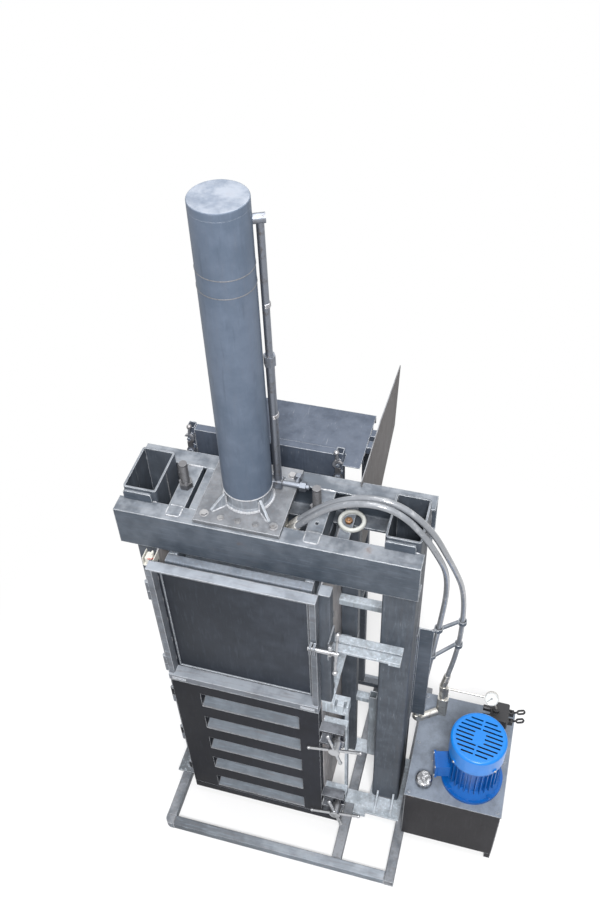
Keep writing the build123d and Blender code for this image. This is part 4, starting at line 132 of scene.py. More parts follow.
class Graph:
    """Node graph of one material, or of the world."""

    def __init__(self, name: str, world: bool = False) -> None:
        """Start an empty graph.

        Args:
            name: the material's or the world's name.
            world: whether the graph belongs to the world.
        """
        self.owner = (bpy.data.worlds if world else bpy.data.materials).new(name)
        self.owner.use_nodes = True
        self.tree = self.owner.node_tree
        self.tree.nodes.clear()
        self._place: Wire | None = None

    def node(self, kind: str, settings: dict | None = None,
             sockets: dict | None = None) -> bpy.types.Node:
        """Add a node.

        Args:
            kind: the node's type.
            settings: properties that are set first.
            sockets: values or links by input name or index.

        Returns:
            The new node.
        """
        node = self.tree.nodes.new(kind)
        for name, value in (settings or {}).items():
            setattr(node, name, value)
        for key, value in (sockets or {}).items():
            if isinstance(value, Wire):
                self.tree.links.new(value.socket, node.inputs[key])
            elif isinstance(value, tuple) and node.inputs[key].type == "RGBA":
                node.inputs[key].default_value = (*value, 1.0)
            else:
                node.inputs[key].default_value = value
        return node

    def wire(self, node: bpy.types.Node, output: str | int = 0) -> Wire:
        """Take a node's output as a value."""
        return Wire(self, node.outputs[output])

    def place(self) -> Wire:
        """Position on the object, in metres, from one node that the graph shares.

        Returns:
            The position.
        """
        if self._place is None:
            self._place = self.wire(self.node("ShaderNodeTexCoord"), "Object")
        return self._place

    def noise(self, scale: float, detail: float = 4.0, rough: float = 0.55,
              stretch: Colour = (1.0, 1.0, 1.0), seed: float = 0.0) -> Wire:
        """Soft random pattern from 0 to 1.

        Args:
            scale: cycles per metre.
            detail: octaves.
            rough: weight of the finer octaves.
            stretch: factors along X, Y and Z.
            seed: shift that makes patterns differ.

        Returns:
            The pattern's value.
        """
        shifted = self.node("ShaderNodeMapping", None,
                            {"Vector": self.place(), "Location": (seed, seed * 1.7, seed * 0.6),
                             "Scale": stretch})
        node = self.node("ShaderNodeTexNoise", None,
                         {"Vector": self.wire(shifted), "Scale": scale, "Detail": detail,
                          "Roughness": rough})
        return self.wire(node, 0)

    def step(self, value: Value, low: float, high: float) -> Wire:
        """Smooth step of a value between two limits.

        Args:
            value: what is compared.
            low: limit at which the step is 0.
            high: limit at which the step is 1.

        Returns:
            The step, from 0 to 1.
        """
        node = self.node("ShaderNodeMapRange", {"interpolation_type": "SMOOTHSTEP"},
                         {"Value": value, "From Min": low, "From Max": high})
        return self.wire(node)

    def mix(self, factor: Value, first: Value, second: Value) -> Wire:
        """Blend of two colours.

        Args:
            factor: share of the second colour.
            first: the colour at 0.
            second: the colour at 1.

        Returns:
            The blend.
        """
        node = self.node("ShaderNodeMix", {"data_type": "RGBA"}, {0: factor, 6: first, 7: second})
        return self.wire(node, 2)

    def upward(self) -> Wire:
        """Mask of what faces up on the object.

        Returns:
            The mask, 1 on top faces.
        """
        normal = self.wire(self.node("ShaderNodeTexCoord"), "Normal")
        split = self.node("ShaderNodeSeparateXYZ", None, {0: normal})
        return self.step(self.wire(split, 2), 0.45, 0.95)

    def sideways(self) -> Wire:
        """Place from left to right on the object, in metres."""
        return self.wire(self.node("ShaderNodeSeparateXYZ", None, {0: self.place()}), 0)

    def edges(self, radius: float) -> tuple[Wire, Wire]:
        """Rounded normal and a mask along sharp edges.

        Args:
            radius: width of the rounding, in metres.

        Returns:
            The normal, and the mask, 1 on an edge.
        """
        bevel = self.node("ShaderNodeBevel", {"samples": 3}, {"Radius": radius})
        flat = self.node("ShaderNodeNewGeometry")
        normal = self.wire(bevel)
        dot = self.node("ShaderNodeVectorMath", {"operation": "DOT_PRODUCT"},
                        {0: normal, 1: self.wire(flat, "Normal")})
        return normal, self.step(1 - self.wire(dot, "Value"), 0.02, 0.16)

    def sight(self) -> Wire:
        """Mask of the rays that show the background: what camera, mirrors and glass see.

        Returns:
            The mask, 1 on those rays.
        """
        path = self.node("ShaderNodeLightPath")
        seen = self.wire(path, "Is Camera Ray") | self.wire(path, "Is Glossy Ray")
        return seen | self.wire(path, "Is Transmission Ray")

    def bump(self, height: Value, strength: float, distance: float,
             normal: Wire | None = None) -> Wire:
        """Surface relief from a height value.

        Args:
            height: the height, from 0 to 1.
            strength: share of the relief that shows.
            distance: height of the relief, in metres.
            normal: the normal under the relief, if not the mesh's own.

        Returns:
            The normal with its relief.
        """
        sockets = {"Height": height, "Strength": strength, "Distance": distance}
        if normal is not None:
            sockets["Normal"] = normal
        return self.wire(self.node("ShaderNodeBump", None, sockets))

    def shade(self, **sockets: Value) -> bpy.types.Material:
        """Close the graph with its shader.

        Args:
            sockets: the shader's inputs, with underscores for spaces.

        Returns:
            The finished material.
        """
        named = {name.replace("_", " "): value for name, value in sockets.items()}
        shader = self.node("ShaderNodeBsdfPrincipled", None, named)
        self.node("ShaderNodeOutputMaterial", None, {"Surface": self.wire(shader)})
        return self.owner


class Finish(Protocol):
    """Anything that can be made into a material."""

    name: str

    def build(self) -> bpy.types.Material:
        """Make the material."""


@dataclass(frozen=True)
class PaintedSteel:
    """Workshop paint over rolled or folded steel, dusty on top, worn at its edges.

    Top faces are also painted lighter for light from above, the edges carry a painted
    highlight, and the left-side setting adds painted shade toward the machine's left side."""

    name: str
    base: Colour
    tint: Colour
    # Colour and share of the top faces' dust and painted light from above.
    top_dust_and_light: Colour = (0.36, 0.38, 0.42)
    top_dust_and_light_amount: float = 0.6
    rust_amount: float = 0.25
    wear: float = 0.8
    roughness: float = 0.42
    metallic: float = 0.05
    sheen: float = 0.22
    edge: float = 0.0045
    flow: Colour = (6.0, 6.0, 0.7)
    streaks: float = 0.4
    warm: Colour = (0.17, 0.14, 0.13)
    patchy: float = 0.7
    scratch: float = 0.4
    # Share of painted shade toward the machine's left side, and how far it reaches.
    painted_left_shade: float = 0.0
    painted_left_shade_reach: float = 0.45
    scratch_colour: Colour = (0.40, 0.42, 0.45)
    rust_colour: Colour = (0.15, 0.075, 0.040)
    # Colour of the pale edges: worn paint, and a painted highlight along the edges.
    pale_edge_colour: Colour = (0.76, 0.79, 0.83)
    seed: float = 0.0

    def build(self) -> bpy.types.Material:
        """Make the paint.

        Returns:
            The material.
        """
        g = Graph(self.name)
        broad = g.noise(2.2, 3.0, 0.5, seed=self.seed)
        cloud = g.noise(13.0, 6.0, 0.62, seed=self.seed + 3)
        runs = g.noise(9.0, 5.0, 0.6, stretch=self.flow, seed=self.seed + 5)
        wipes = g.noise(12.0, 5.0, 0.65, stretch=self.flow, seed=self.seed + 15)
        grain = g.noise(420.0, 2.0, 0.6)
        scratches = g.step(g.noise(16.0, 3.0, 0.5, stretch=(22.0, 1.2, 1.0), seed=self.seed + 8),
                           0.66, 0.72)
        normal, edge = g.edges(self.edge)
        # Pale edges: partly worn paint, partly a painted highlight along the edges.
        pale_edges = edge * g.step(g.noise(38.0, 5.0, 0.7, seed=self.seed + 2), 0.24, 0.50) * self.wear
        rust_spread = g.noise(7.5, 8.0, 0.68, seed=self.seed + 11)
        rust = g.step(rust_spread + cloud * 0.25, 0.80 - 0.14 * self.rust_amount, 0.92)
        rust = rust * min(1.0, self.rust_amount * 2.2)
        patches = g.step(broad * 0.4 + cloud * 0.6, 0.40, 0.60)
        # Top faces: dust, and a lighter tone painted for light falling from above.
        top = g.upward() * (1.0 - self.patchy + patches * self.patchy) * self.top_dust_and_light_amount
        marks = scratches * g.step(cloud, 0.45, 0.6) * self.scratch

        paint = g.mix(g.step(broad * 0.5 + cloud * 0.5, 0.36, 0.64), self.base, self.tint)
        paint = g.mix(g.step(runs, 0.55, 0.75) * 0.35, paint, tuple(c * 0.55 for c in self.base))
        paint = g.mix(top, paint, self.top_dust_and_light)
        # Painted shade: the paint darkens toward the machine's left side (-X).
        if self.painted_left_shade:
            left = 1 - g.step(g.sideways(), -self.painted_left_shade_reach, self.painted_left_shade_reach)
            paint = g.mix(left * self.painted_left_shade, paint, tuple(c * 0.30 for c in self.base))
        paint = g.mix(g.step(wipes, 0.50, 0.72) * self.streaks, paint, self.warm)
        paint = g.mix(g.step(wipes, 0.48, 0.30) * self.streaks, paint,
                      tuple(c * 1.9 for c in self.tint))
        paint = g.mix(marks, paint, self.scratch_colour)
        paint = g.mix(rust, paint, self.rust_colour)
        paint = g.mix(pale_edges, paint, self.pale_edge_colour)
        rough = self.roughness + cloud * 0.22 + top * 0.12 + rust * 0.3 - pale_edges * 0.1
        relief = grain * 0.35 + cloud * 0.8 + rust * 0.6 - marks * 0.4
        return g.shade(Base_Color=paint, Roughness=rough, Metallic=self.metallic + pale_edges * 0.3,
                       Specular_IOR_Level=self.sheen, Normal=g.bump(relief, 0.32, 0.0012, normal))


@dataclass(frozen=True)
class BareSteel:
    """Bare or plated steel, handled bright, with stains and a little rust.

    Strong dark stains, as on the handled steel, are painted dark reflection as well.
    """

    name: str
    colour: Colour
    # Stain colour; on handled steel the dark stains are also painted dark reflection.
    stain_and_reflection: Colour = (0.12, 0.10, 0.085)
    rust_amount: float = 0.35
    roughness: float = 0.30
    grain: Colour = (1.0, 1.0, 14.0)
    edge: float = 0.0010
    rust_colour: Colour = (0.23, 0.10, 0.045)
    worn_colour: Colour = (0.68, 0.68, 0.69)
    seed: float = 0.0

    def build(self) -> bpy.types.Material:
        """Make the metal.

        Returns:
            The material.
        """
        g = Graph(self.name)
        cloud = g.noise(34.0, 6.0, 0.65, seed=self.seed)
        lines = g.noise(120.0, 3.0, 0.5, stretch=self.grain, seed=self.seed + 4)
        normal, edge = g.edges(self.edge)
        # Dark stains: real stains, and on handled steel also painted dark reflection.
        stains_and_reflections = g.step(cloud, 0.50, 0.74) * 0.75
        rust = g.step(g.noise(26.0, 8.0, 0.7, seed=self.seed + 7), 0.60, 0.74) * self.rust_amount
        metal = g.mix(lines * 0.5, self.colour, tuple(c * 0.72 for c in self.colour))
        metal = g.mix(stains_and_reflections, metal, self.stain_and_reflection)
        metal = g.mix(rust, metal, self.rust_colour)
        metal = g.mix(edge * 0.7, metal, self.worn_colour)
        rough = self.roughness + lines * 0.16 + stains_and_reflections * 0.2 + rust * 0.35 - edge * 0.08
        return g.shade(Base_Color=metal, Roughness=rough, Metallic=0.92 - rust * 0.7,
                       Normal=g.bump(lines * 0.5 + cloud, 0.22, 0.0006, normal))


@dataclass(frozen=True)
class GlossPaint:
    """Factory gloss paint on a casting or pressing."""

    name: str
    base: Colour
    shade_colour: Colour
    roughness: float = 0.26
    cast: float = 0.3
    coat: float = 0.35
    edge: float = 0.0012
    pale_edge_colour: Colour = (0.45, 0.50, 0.58)

    def build(self) -> bpy.types.Material:
        """Make the gloss paint.

        Returns:
            The material.
        """
        g = Graph(self.name)
        cloud = g.noise(24.0, 5.0, 0.6)
        pits = g.noise(300.0, 3.0, 0.6)
        normal, edge = g.edges(self.edge)
        grime = g.step(g.noise(11.0, 7.0, 0.7, seed=6.0), 0.56, 0.80) * 0.55
        colour = g.mix(cloud, self.base, self.shade_colour)
        colour = g.mix(grime, colour, tuple(c * 0.45 for c in self.shade_colour))
        pale_edges = edge * g.step(g.noise(60.0, 4.0, 0.7, seed=2.0), 0.56, 0.66) * 0.6
        colour = g.mix(pale_edges, colour, self.pale_edge_colour)
        return g.shade(Base_Color=colour, Roughness=self.roughness + cloud * 0.14 + grime * 0.3,
                       Specular_IOR_Level=0.3, Coat_Weight=self.coat, Coat_Roughness=0.15,
                       Normal=g.bump(pits * self.cast + cloud, 0.25, 0.0007, normal))


@dataclass(frozen=True)
class Casting:
    """Sand casting under thin dark paint, a little oily."""

    name: str
    base: Colour
    pale: Colour
    roughness: float = 0.42
    metallic: float = 0.35
    edge: float = 0.0014
    worn_colour: Colour = (0.36, 0.36, 0.37)

    def build(self) -> bpy.types.Material:
        """Make the cast surface.

        Returns:
            The material.
        """
        g = Graph(self.name)
        sand = g.noise(520.0, 4.0, 0.7)
        cloud = g.noise(30.0, 6.0, 0.65)
        normal, edge = g.edges(self.edge)
        oil = g.step(g.noise(14.0, 4.0, 0.5, seed=9.0), 0.50, 0.62)
        colour = g.mix(cloud, self.base, self.pale)
        colour = g.mix(edge * 0.55, colour, self.worn_colour)
        return g.shade(Base_Color=colour, Roughness=self.roughness + cloud * 0.2 - oil * 0.2,
                       Metallic=self.metallic,
                       Normal=g.bump(sand * 0.8 + cloud, 0.4, 0.0007, normal))


@dataclass(frozen=True)
class BrightPlate:
    """Chrome or nickel plate with fine handling marks; dark wide marks are painted reflection."""

    name: str
    colour: Colour = (0.72, 0.73, 0.75)
    roughness: float = 0.12
    spots_from: float = 0.68
    spot: Colour = (0.30, 0.26, 0.22)

    def build(self) -> bpy.types.Material:
        """Make the plating.

        Returns:
            The material.
        """
        g = Graph(self.name)
        haze = g.noise(40.0, 6.0, 0.6)
        hair = g.step(g.noise(60.0, 2.0, 0.5, stretch=(1.0, 1.0, 30.0)), 0.58, 0.70)
        # Spots: handling marks, and where set dark and wide, painted dark reflection.
        spots = g.step(g.noise(90.0, 5.0, 0.7, seed=5.0), self.spots_from, self.spots_from + 0.06)
        colour = g.mix(spots * 0.7, self.colour, self.spot)
        return g.shade(Base_Color=colour, Metallic=1.0,
                       Roughness=self.roughness + haze * 0.14 + hair * 0.1 + spots * 0.3,
                       Normal=g.bump(hair + haze, 0.08, 0.0003))


@dataclass(frozen=True)
class HoseSkin:
    """Grey rubber cover of a hydraulic hose, with its wrapped-cloth imprint."""

    name: str
    base: Colour
    pale: Colour
    scuff_colour: Colour = (0.50, 0.51, 0.53)

    def build(self) -> bpy.types.Material:
        """Make the cover.

        Returns:
            The material.
        """
        g = Graph(self.name)
        cloud = g.noise(18.0, 5.0, 0.6)
        cloth = g.noise(700.0, 2.0, 0.5)
        wrap = g.node("ShaderNodeTexWave", {"wave_type": "BANDS", "bands_direction": "DIAGONAL"},
                      {"Vector": g.place(), "Scale": 60.0, "Distortion": 1.2, "Detail": 2.0})
        scuff = g.step(g.noise(26.0, 7.0, 0.7, seed=3.0), 0.54, 0.68)
        colour = g.mix(cloud, self.base, self.pale)
        colour = g.mix(scuff * 0.45, colour, self.scuff_colour)
        relief = g.wire(wrap, 1) * 0.5 + cloth * 0.5
        return g.shade(Base_Color=colour, Roughness=0.30 + cloud * 0.16 + scuff * 0.15,
                       Coat_Weight=0.9, Coat_Roughness=0.10,
                       Normal=g.bump(relief, 0.18, 0.0004))


@dataclass(frozen=True)
class Moulding:
    """Moulded plastic or enamel in one colour, slightly aged."""

    name: str
    base: Colour
    roughness: float = 0.4

    def build(self) -> bpy.types.Material:
        """Make the moulding.

        Returns:
            The material.
        """
        g = Graph(self.name)
        cloud = g.noise(45.0, 5.0, 0.6)
        fine = g.noise(900.0, 2.0, 0.5)
        age = g.step(g.noise(22.0, 6.0, 0.65, seed=4.0), 0.52, 0.78) * 0.4
        colour = g.mix(age, self.base, tuple(c * 0.62 for c in self.base))
        return g.shade(Base_Color=colour, Roughness=self.roughness + cloud * 0.18 + age * 0.2,
                       Normal=g.bump(fine * 0.6 + cloud * 0.4, 0.12, 0.0004))


@dataclass(frozen=True)
class WeldMetal:
    """Weld bead with heat tint, spatter and a skin of paint."""

    name: str
    base: Colour
    burnt: Colour

    def build(self) -> bpy.types.Material:
        """Make the weld's surface.

        Returns:
            The material.
        """
        g = Graph(self.name)
        cloud = g.noise(55.0, 6.0, 0.65)
        slag = g.step(g.noise(120.0, 6.0, 0.7, seed=2.0), 0.52, 0.66)
        colour = g.mix(cloud, self.base, self.burnt)
        colour = g.mix(slag * 0.6, colour, tuple(c * 0.5 for c in self.burnt))
        return g.shade(Base_Color=colour, Roughness=0.42 + slag * 0.25 + cloud * 0.1,
                       Metallic=0.55, Normal=g.bump(cloud + slag * 0.5, 0.35, 0.0006))


@dataclass(frozen=True)
class Lens:
    """Clear lens of the gauge."""

    name: str = "gauge_lens_glass"

    def build(self) -> bpy.types.Material:
        """Make the glass.

        Returns:
            The material.
        """
        g = Graph(self.name)
        smear = g.noise(60.0, 5.0, 0.6)
        return g.shade(Base_Color=(0.9, 0.95, 0.97), Roughness=0.03 + smear * 0.05,
                       Alpha=0.10 + smear * 0.08, Specular_IOR_Level=0.8)


class Rack:
    """Finishes that have been made, each once."""

    _made: dict[str, bpy.types.Material] = {}

    @classmethod
    def take(cls, finish: Finish) -> bpy.types.Material:
        """Material of a finish, made when it is first asked for.

        Args:
            finish: the finish.

        Returns:
            Its material.
        """
        if finish.name not in cls._made:
            cls._made[finish.name] = finish.build()
        return cls._made[finish.name]

    @classmethod
    def dress(cls, nodes: dict, names: Sequence[str], finish: Finish) -> None:
        """Give CAD nodes a finish.

        Args:
            nodes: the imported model's objects by node name.
            names: the nodes to dress.
            finish: what they get.
        """
        material = cls.take(finish)
        for name in names:
            mesh = nodes[name].data
            mesh.materials.clear()
            mesh.materials.append(material)
            LOG.info("dressed %s in %s", name, finish.name)


ALONG_X = (0.7, 8.0, 8.0)
PAINT_FRAME = PaintedSteel("frame_paint", (0.050, 0.064, 0.084), (0.096, 0.114, 0.142),
                           top_dust_and_light=(0.36, 0.38, 0.41), wear=1.0, edge=0.0058, flow=ALONG_X,
                           streaks=0.22, scratch=0.2, warm=(0.11, 0.10, 0.10))
PAINT_COLUMN = PaintedSteel("column_paint", (0.050, 0.060, 0.076), (0.090, 0.105, 0.128),
                            top_dust_and_light=(0.30, 0.32, 0.35), wear=0.9, streaks=0.25,
                            warm=(0.085, 0.075, 0.075), seed=21.0)
PAINT_FLANGE = PaintedSteel("flange_paint", (0.105, 0.114, 0.128), (0.165, 0.174, 0.190),
                            top_dust_and_light=(0.255, 0.265, 0.285), wear=1.0, streaks=0.25, seed=16.0)
PAINT_RAIL = PaintedSteel("rail_paint", (0.080, 0.094, 0.112), (0.150, 0.168, 0.190),
                          top_dust_and_light=(0.38, 0.39, 0.42), rust_amount=0.35, wear=1.0, seed=4.0)
PAINT_RAIL_END = PaintedSteel("rail_end_paint", (0.120, 0.142, 0.170), (0.215, 0.245, 0.282),
                              top_dust_and_light=(0.50, 0.54, 0.60), rust_amount=0.25, wear=1.0, flow=ALONG_X,
                              patchy=0.35, painted_left_shade=0.7, seed=5.0)
PAINT_PLATE = PaintedSteel("plate_paint", (0.19, 0.21, 0.24), (0.32, 0.345, 0.38),
                           top_dust_and_light=(0.42, 0.45, 0.49), rust_amount=0.25, wear=1.0, seed=14.0)
PAINT_BRIGHT = PaintedSteel("bright_plate_paint", (0.28, 0.32, 0.36), (0.46, 0.51, 0.56),
                            top_dust_and_light=(0.58, 0.63, 0.69), rust_amount=0.2, wear=1.0,
                            painted_left_shade=0.85, seed=15.0)
PAINT_CHAMBER = PaintedSteel("chamber_sheet", (0.29, 0.285, 0.30), (0.46, 0.43, 0.42),
                             rust_amount=0.5, wear=0.8, streaks=0.4, warm=(0.30, 0.24, 0.20),
                             seed=31.0)
PAINT_DOOR = PaintedSteel("door_frame_paint", (0.085, 0.096, 0.114), (0.15, 0.165, 0.19),
                          top_dust_and_light=(0.34, 0.37, 0.415), top_dust_and_light_amount=0.9, wear=1.0, flow=ALONG_X,
                          patchy=0.5, seed=42.0)
PAINT_SKIN = PaintedSteel("door_skin_paint", (0.028, 0.034, 0.046), (0.050, 0.059, 0.077),
                          rust_amount=0.05, roughness=0.40, sheen=0.14, streaks=0.15,
                          scratch=0.04, painted_left_shade=0.7, warm=(0.040, 0.040, 0.048), seed=53.0)
PAINT_LOWER = PaintedSteel("lower_door_paint", (0.010, 0.011, 0.016), (0.021, 0.023, 0.031),
                           rust_amount=0.1, sheen=0.10, painted_left_shade=0.6, streaks=0.15, scratch=0.04,
                           warm=(0.028, 0.026, 0.028), seed=64.0)
PAINT_SHELF = PaintedSteel("strap_shelf_paint", (0.066, 0.080, 0.098), (0.130, 0.150, 0.176),
                           top_dust_and_light=(0.20, 0.23, 0.265), top_dust_and_light_amount=0.65, wear=1.0, flow=ALONG_X,
                           streaks=0.5, patchy=0.4, warm=(0.15, 0.13, 0.135), seed=75.0)
PAINT_CYLINDER = PaintedSteel("cylinder_paint", (0.088, 0.116, 0.162), (0.120, 0.150, 0.204),
                              rust_amount=0.05, wear=0.25, roughness=0.36, sheen=0.16,
                              streaks=0.06, scratch=0.05, seed=8.0)
PAINT_PANEL = PaintedSteel("panel_paint", (0.046, 0.058, 0.082), (0.078, 0.094, 0.126),
                           top_dust_and_light=(0.110, 0.128, 0.165), rust_amount=0.12, wear=0.9, streaks=0.2,
                           warm=(0.09, 0.09, 0.10), seed=17.0)
PAINT_WING = PaintedSteel("wing_primer", (0.100, 0.093, 0.092), (0.160, 0.153, 0.153),
                          rust_amount=0.15, wear=0.5, roughness=0.5, sheen=0.10, streaks=0.2,
                          seed=27.0)
PAINT_TANK = PaintedSteel("tank_paint", (0.015, 0.0145, 0.017), (0.030, 0.029, 0.033),
                          top_dust_and_light=(0.24, 0.275, 0.33), top_dust_and_light_amount=1.0, rust_amount=0.22, sheen=0.12,
                          streaks=0.15, warm=(0.04, 0.038, 0.040), patchy=0.3, scratch=0.1,
                          seed=37.0)
PAINT_PLATEN = PaintedSteel("platen_paint", (0.120, 0.145, 0.180), (0.180, 0.205, 0.245),
                            top_dust_and_light=(0.270, 0.300, 0.345), rust_amount=0.3, wear=1.0, seed=47.0)
STEEL_BOLT = BareSteel("bolt_steel", (0.42, 0.42, 0.43), rust_amount=0.5)
STEEL_STUD = BareSteel("stud_steel", (0.20, 0.20, 0.21), stain_and_reflection=(0.09, 0.09, 0.10),
                       rust_amount=0.12, roughness=0.40, seed=3.0)
# Its strong dark stains are painted dark reflection as well as stains.
STEEL_HANDLED = BareSteel("handled_steel", (0.50, 0.51, 0.53), stain_and_reflection=(0.055, 0.050, 0.050),
                          rust_amount=0.15, roughness=0.24, seed=6.0)
NUT_BROWN = BareSteel("nut_brown", (0.30, 0.17, 0.09), rust_amount=0.8, roughness=0.5, seed=7.0)
STEEL_HOOK = BareSteel("hook_steel", (0.40, 0.40, 0.42), rust_amount=0.4, seed=9.0)
STEEL_FITTING = BareSteel("fitting_steel", (0.58, 0.57, 0.54), rust_amount=0.2, seed=12.0)
PIPE_STEEL = BareSteel("pipe_steel", (0.24, 0.26, 0.30), rust_amount=0.3, roughness=0.38,
                       grain=(1.0, 1.0, 1.0), seed=18.0)
CHROME_ROD = BrightPlate("rod_chrome")
# The breather cap's wide dark spots are painted reflection.
CHROME_CAP = BrightPlate("breather_chrome", (0.56, 0.57, 0.59), 0.10, 0.46, (0.05, 0.05, 0.055))
BLUE_GLOSS = GlossPaint("motor_blue", (0.002, 0.130, 0.48), (0.001, 0.065, 0.28), coat=0.15)
BLUE_COWL = GlossPaint("cowl_blue", (0.006, 0.205, 0.66), (0.004, 0.165, 0.56), cast=0.1,
                       coat=0.2)
BLACK_CAST = Casting("valve_black", (0.018, 0.018, 0.020), (0.040, 0.040, 0.043))
GREY_CAST = Casting("block_grey", (0.16, 0.16, 0.165), (0.25, 0.25, 0.25), metallic=0.5)
GREY_HOSE = HoseSkin("hose_grey", (0.120, 0.128, 0.142), (0.235, 0.250, 0.275))
BLACK_PLASTIC = Moulding("fan_plastic", (0.02, 0.02, 0.022), 0.45)
WHITE_PLASTIC = Moulding("switch_white", (0.66, 0.65, 0.60), 0.35)
RING_ENAMEL = Moulding("ring_enamel", (0.44, 0.45, 0.43), 0.35)
RED_SLEEVE = Moulding("wire_red", (0.50, 0.045, 0.030), 0.4)
DIAL_WHITE = Moulding("dial_white", (0.78, 0.78, 0.74), 0.35)
DIAL_BLACK = Moulding("dial_black", (0.015, 0.015, 0.015), 0.4)
WELD_DARK = WeldMetal("weld_painted", (0.15, 0.16, 0.18), (0.22, 0.22, 0.23))
WELD_BRIGHT = WeldMetal("weld_bright", (0.66, 0.68, 0.72), (0.42, 0.42, 0.43))


class MeshPiece:
    """A mesh under way, in metres in the model's frame."""

    def __init__(self, seed: int = 1) -> None:
        """Start empty.

        Args:
            seed: start of the piece's own random numbers.
        """
        self.mesh = bmesh.new()
        self.random = random.Random(seed)

    def _rings(self, rings: list[list], closed: bool) -> None:
        """Skin a row of vertex rings, and close its ends unless it is a loop.

        Args:
            rings: the vertex rings in order.
            closed: whether the last ring joins the first.
        """
        pairs = list(zip(rings, rings[1:]))
        if closed:
            pairs.append((rings[-1], rings[0]))
        for low, high in pairs:
            count = len(low)
            for k in range(count):
                after = (k + 1) % count
                self.mesh.faces.new((low[k], low[after], high[after], high[k]))
        if not closed:
            self.mesh.faces.new(list(reversed(rings[0])))
            self.mesh.faces.new(rings[-1])

    def sweep(self, path: Sequence[Vector], radii: Sequence[float], sides: int = 10,
              closed: bool = False, squash: float = 1.0) -> None:
        """Round bar of varying radius along a path.

        Args:
            path: points of the middle line.
            radii: radius at each point.
            sides: corners of the section.
            closed: whether the path is a loop.
            squash: the section's height over its width.
        """
        points = [Vector(p) for p in path]
        count = len(points)
        rings = []
        across = None
        for i, point in enumerate(points):
            before = points[i - 1] if i or closed else point
            after = points[(i + 1) % count] if i < count - 1 or closed else point
            ahead = (after - before).normalized()
            if across is None:
                helper = Vector((0, 0, 1)) if abs(ahead.z) < 0.9 else Vector((1, 0, 0))
                across = ahead.cross(helper).normalized()
            across = (across - ahead * across.dot(ahead)).normalized()
            up = across.cross(ahead)
            ring = []
            for k in range(sides):
                angle = 2 * math.pi * k / sides
                offset = across * math.cos(angle) + up * (math.sin(angle) * squash)
                ring.append(self.mesh.verts.new(point + offset * radii[i]))
            rings.append(ring)
        self._rings(rings, closed)

    def bead(self, start: Vector, end: Vector, width: float) -> None:
        """Rippled weld bead along a line.

        Args:
            start: where the bead starts.
            end: where it ends.
            width: half of its width.
        """
        start, end = Vector(start), Vector(end)
        length = (end - start).length
        steps = max(6, min(260, round(length / (width * 0.55))))
        wander = width * 0.16
        path, radii = [], []
        for k in range(steps + 1):
            along = k / steps
            jitter = Vector([self.random.uniform(-wander, wander) for _ in range(3)])
            path.append(start.lerp(end, along) + jitter)
            ripple = 0.80 + 0.26 * ((k % 3) / 2) + self.random.uniform(-0.07, 0.07)
            ends = min(1.0, 3.5 * min(along, 1 - along) + 0.35)
            radii.append(width * ripple * ends)
        self.sweep(path, radii, 7)

    def bead_ring(self, centre: Vector, axis: Vector, radius: float, width: float) -> None:
        """Rippled weld bead round an axis.

        Args:
            centre: centre of the ring.
            axis: direction that the ring goes round.
            radius: the ring's radius.
            width: half of the bead's width.
        """
        turn = Vector(axis).to_track_quat("Z", "Y")
        steps = min(220, round(2 * math.pi * radius / (width * 0.6)))
        path, radii = [], []
        for k in range(steps):
            angle = 2 * math.pi * k / steps
            r = radius + self.random.uniform(-0.12, 0.12) * width
            spot = Vector((r * math.cos(angle), r * math.sin(angle), 0))
            path.append(Vector(centre) + turn @ spot)
            radii.append(width * (0.82 + 0.26 * ((k % 3) / 2) + self.random.uniform(-0.06, 0.06)))
        self.sweep(path, radii, 7, closed=True)

    def helix(self, start: Vector, axis: Vector, radius: float, pitch: float, length: float,
              depth: float) -> None:
        """Thread ridge round a bar, its crest just proud of the bar.

        Args:
            start: centre of the thread's first end.
            axis: direction along the thread.
            radius: the bar's radius.
            pitch: rise of a turn.
            length: length of the thread.
            depth: height of the ridge above the bar.
        """
        turn = Vector(axis).to_track_quat("Z", "Y")
        per_turn = 20
        steps = max(per_turn, round((length - pitch) / pitch * per_turn))
        rows = []
        for k in range(steps + 1):
            angle = 2 * math.pi * k / per_turn
            rise = pitch * k / per_turn
            fade = min(1.0, k / per_turn, (steps - k) / per_turn)
            row = []
            for lift, along in ((-0.4, 0.0), (fade, 0.5), (-0.4, 1.0)):
                r = radius + depth * lift
                spot = Vector((r * math.cos(angle), r * math.sin(angle), rise + pitch * along))
                row.append(self.mesh.verts.new(Vector(start) + turn @ spot))
            rows.append(row)
        for low, high in zip(rows, rows[1:]):
            for k in range(2):
                self.mesh.faces.new((low[k], high[k], high[k + 1], low[k + 1]))

    def lathe(self, centre: Vector, axis: Vector, profile: Sequence[tuple[float, float]],
              sides: int = 32) -> None:
        """Turned piece from a profile.

        Args:
            centre: point that the profile's heights start from.
            axis: direction of the heights.
            profile: pairs of radius and height, from one end to the other.
            sides: corners round the axis.
        """
        turn = Vector(axis).to_track_quat("Z", "Y")
        rings = []
        for radius, height in profile:
            ring = []
            for k in range(sides):
                angle = 2 * math.pi * k / sides
                spot = Vector((radius * math.cos(angle), radius * math.sin(angle), height))
                ring.append(self.mesh.verts.new(Vector(centre) + turn @ spot))
            rings.append(ring)
        self._rings(rings, False)

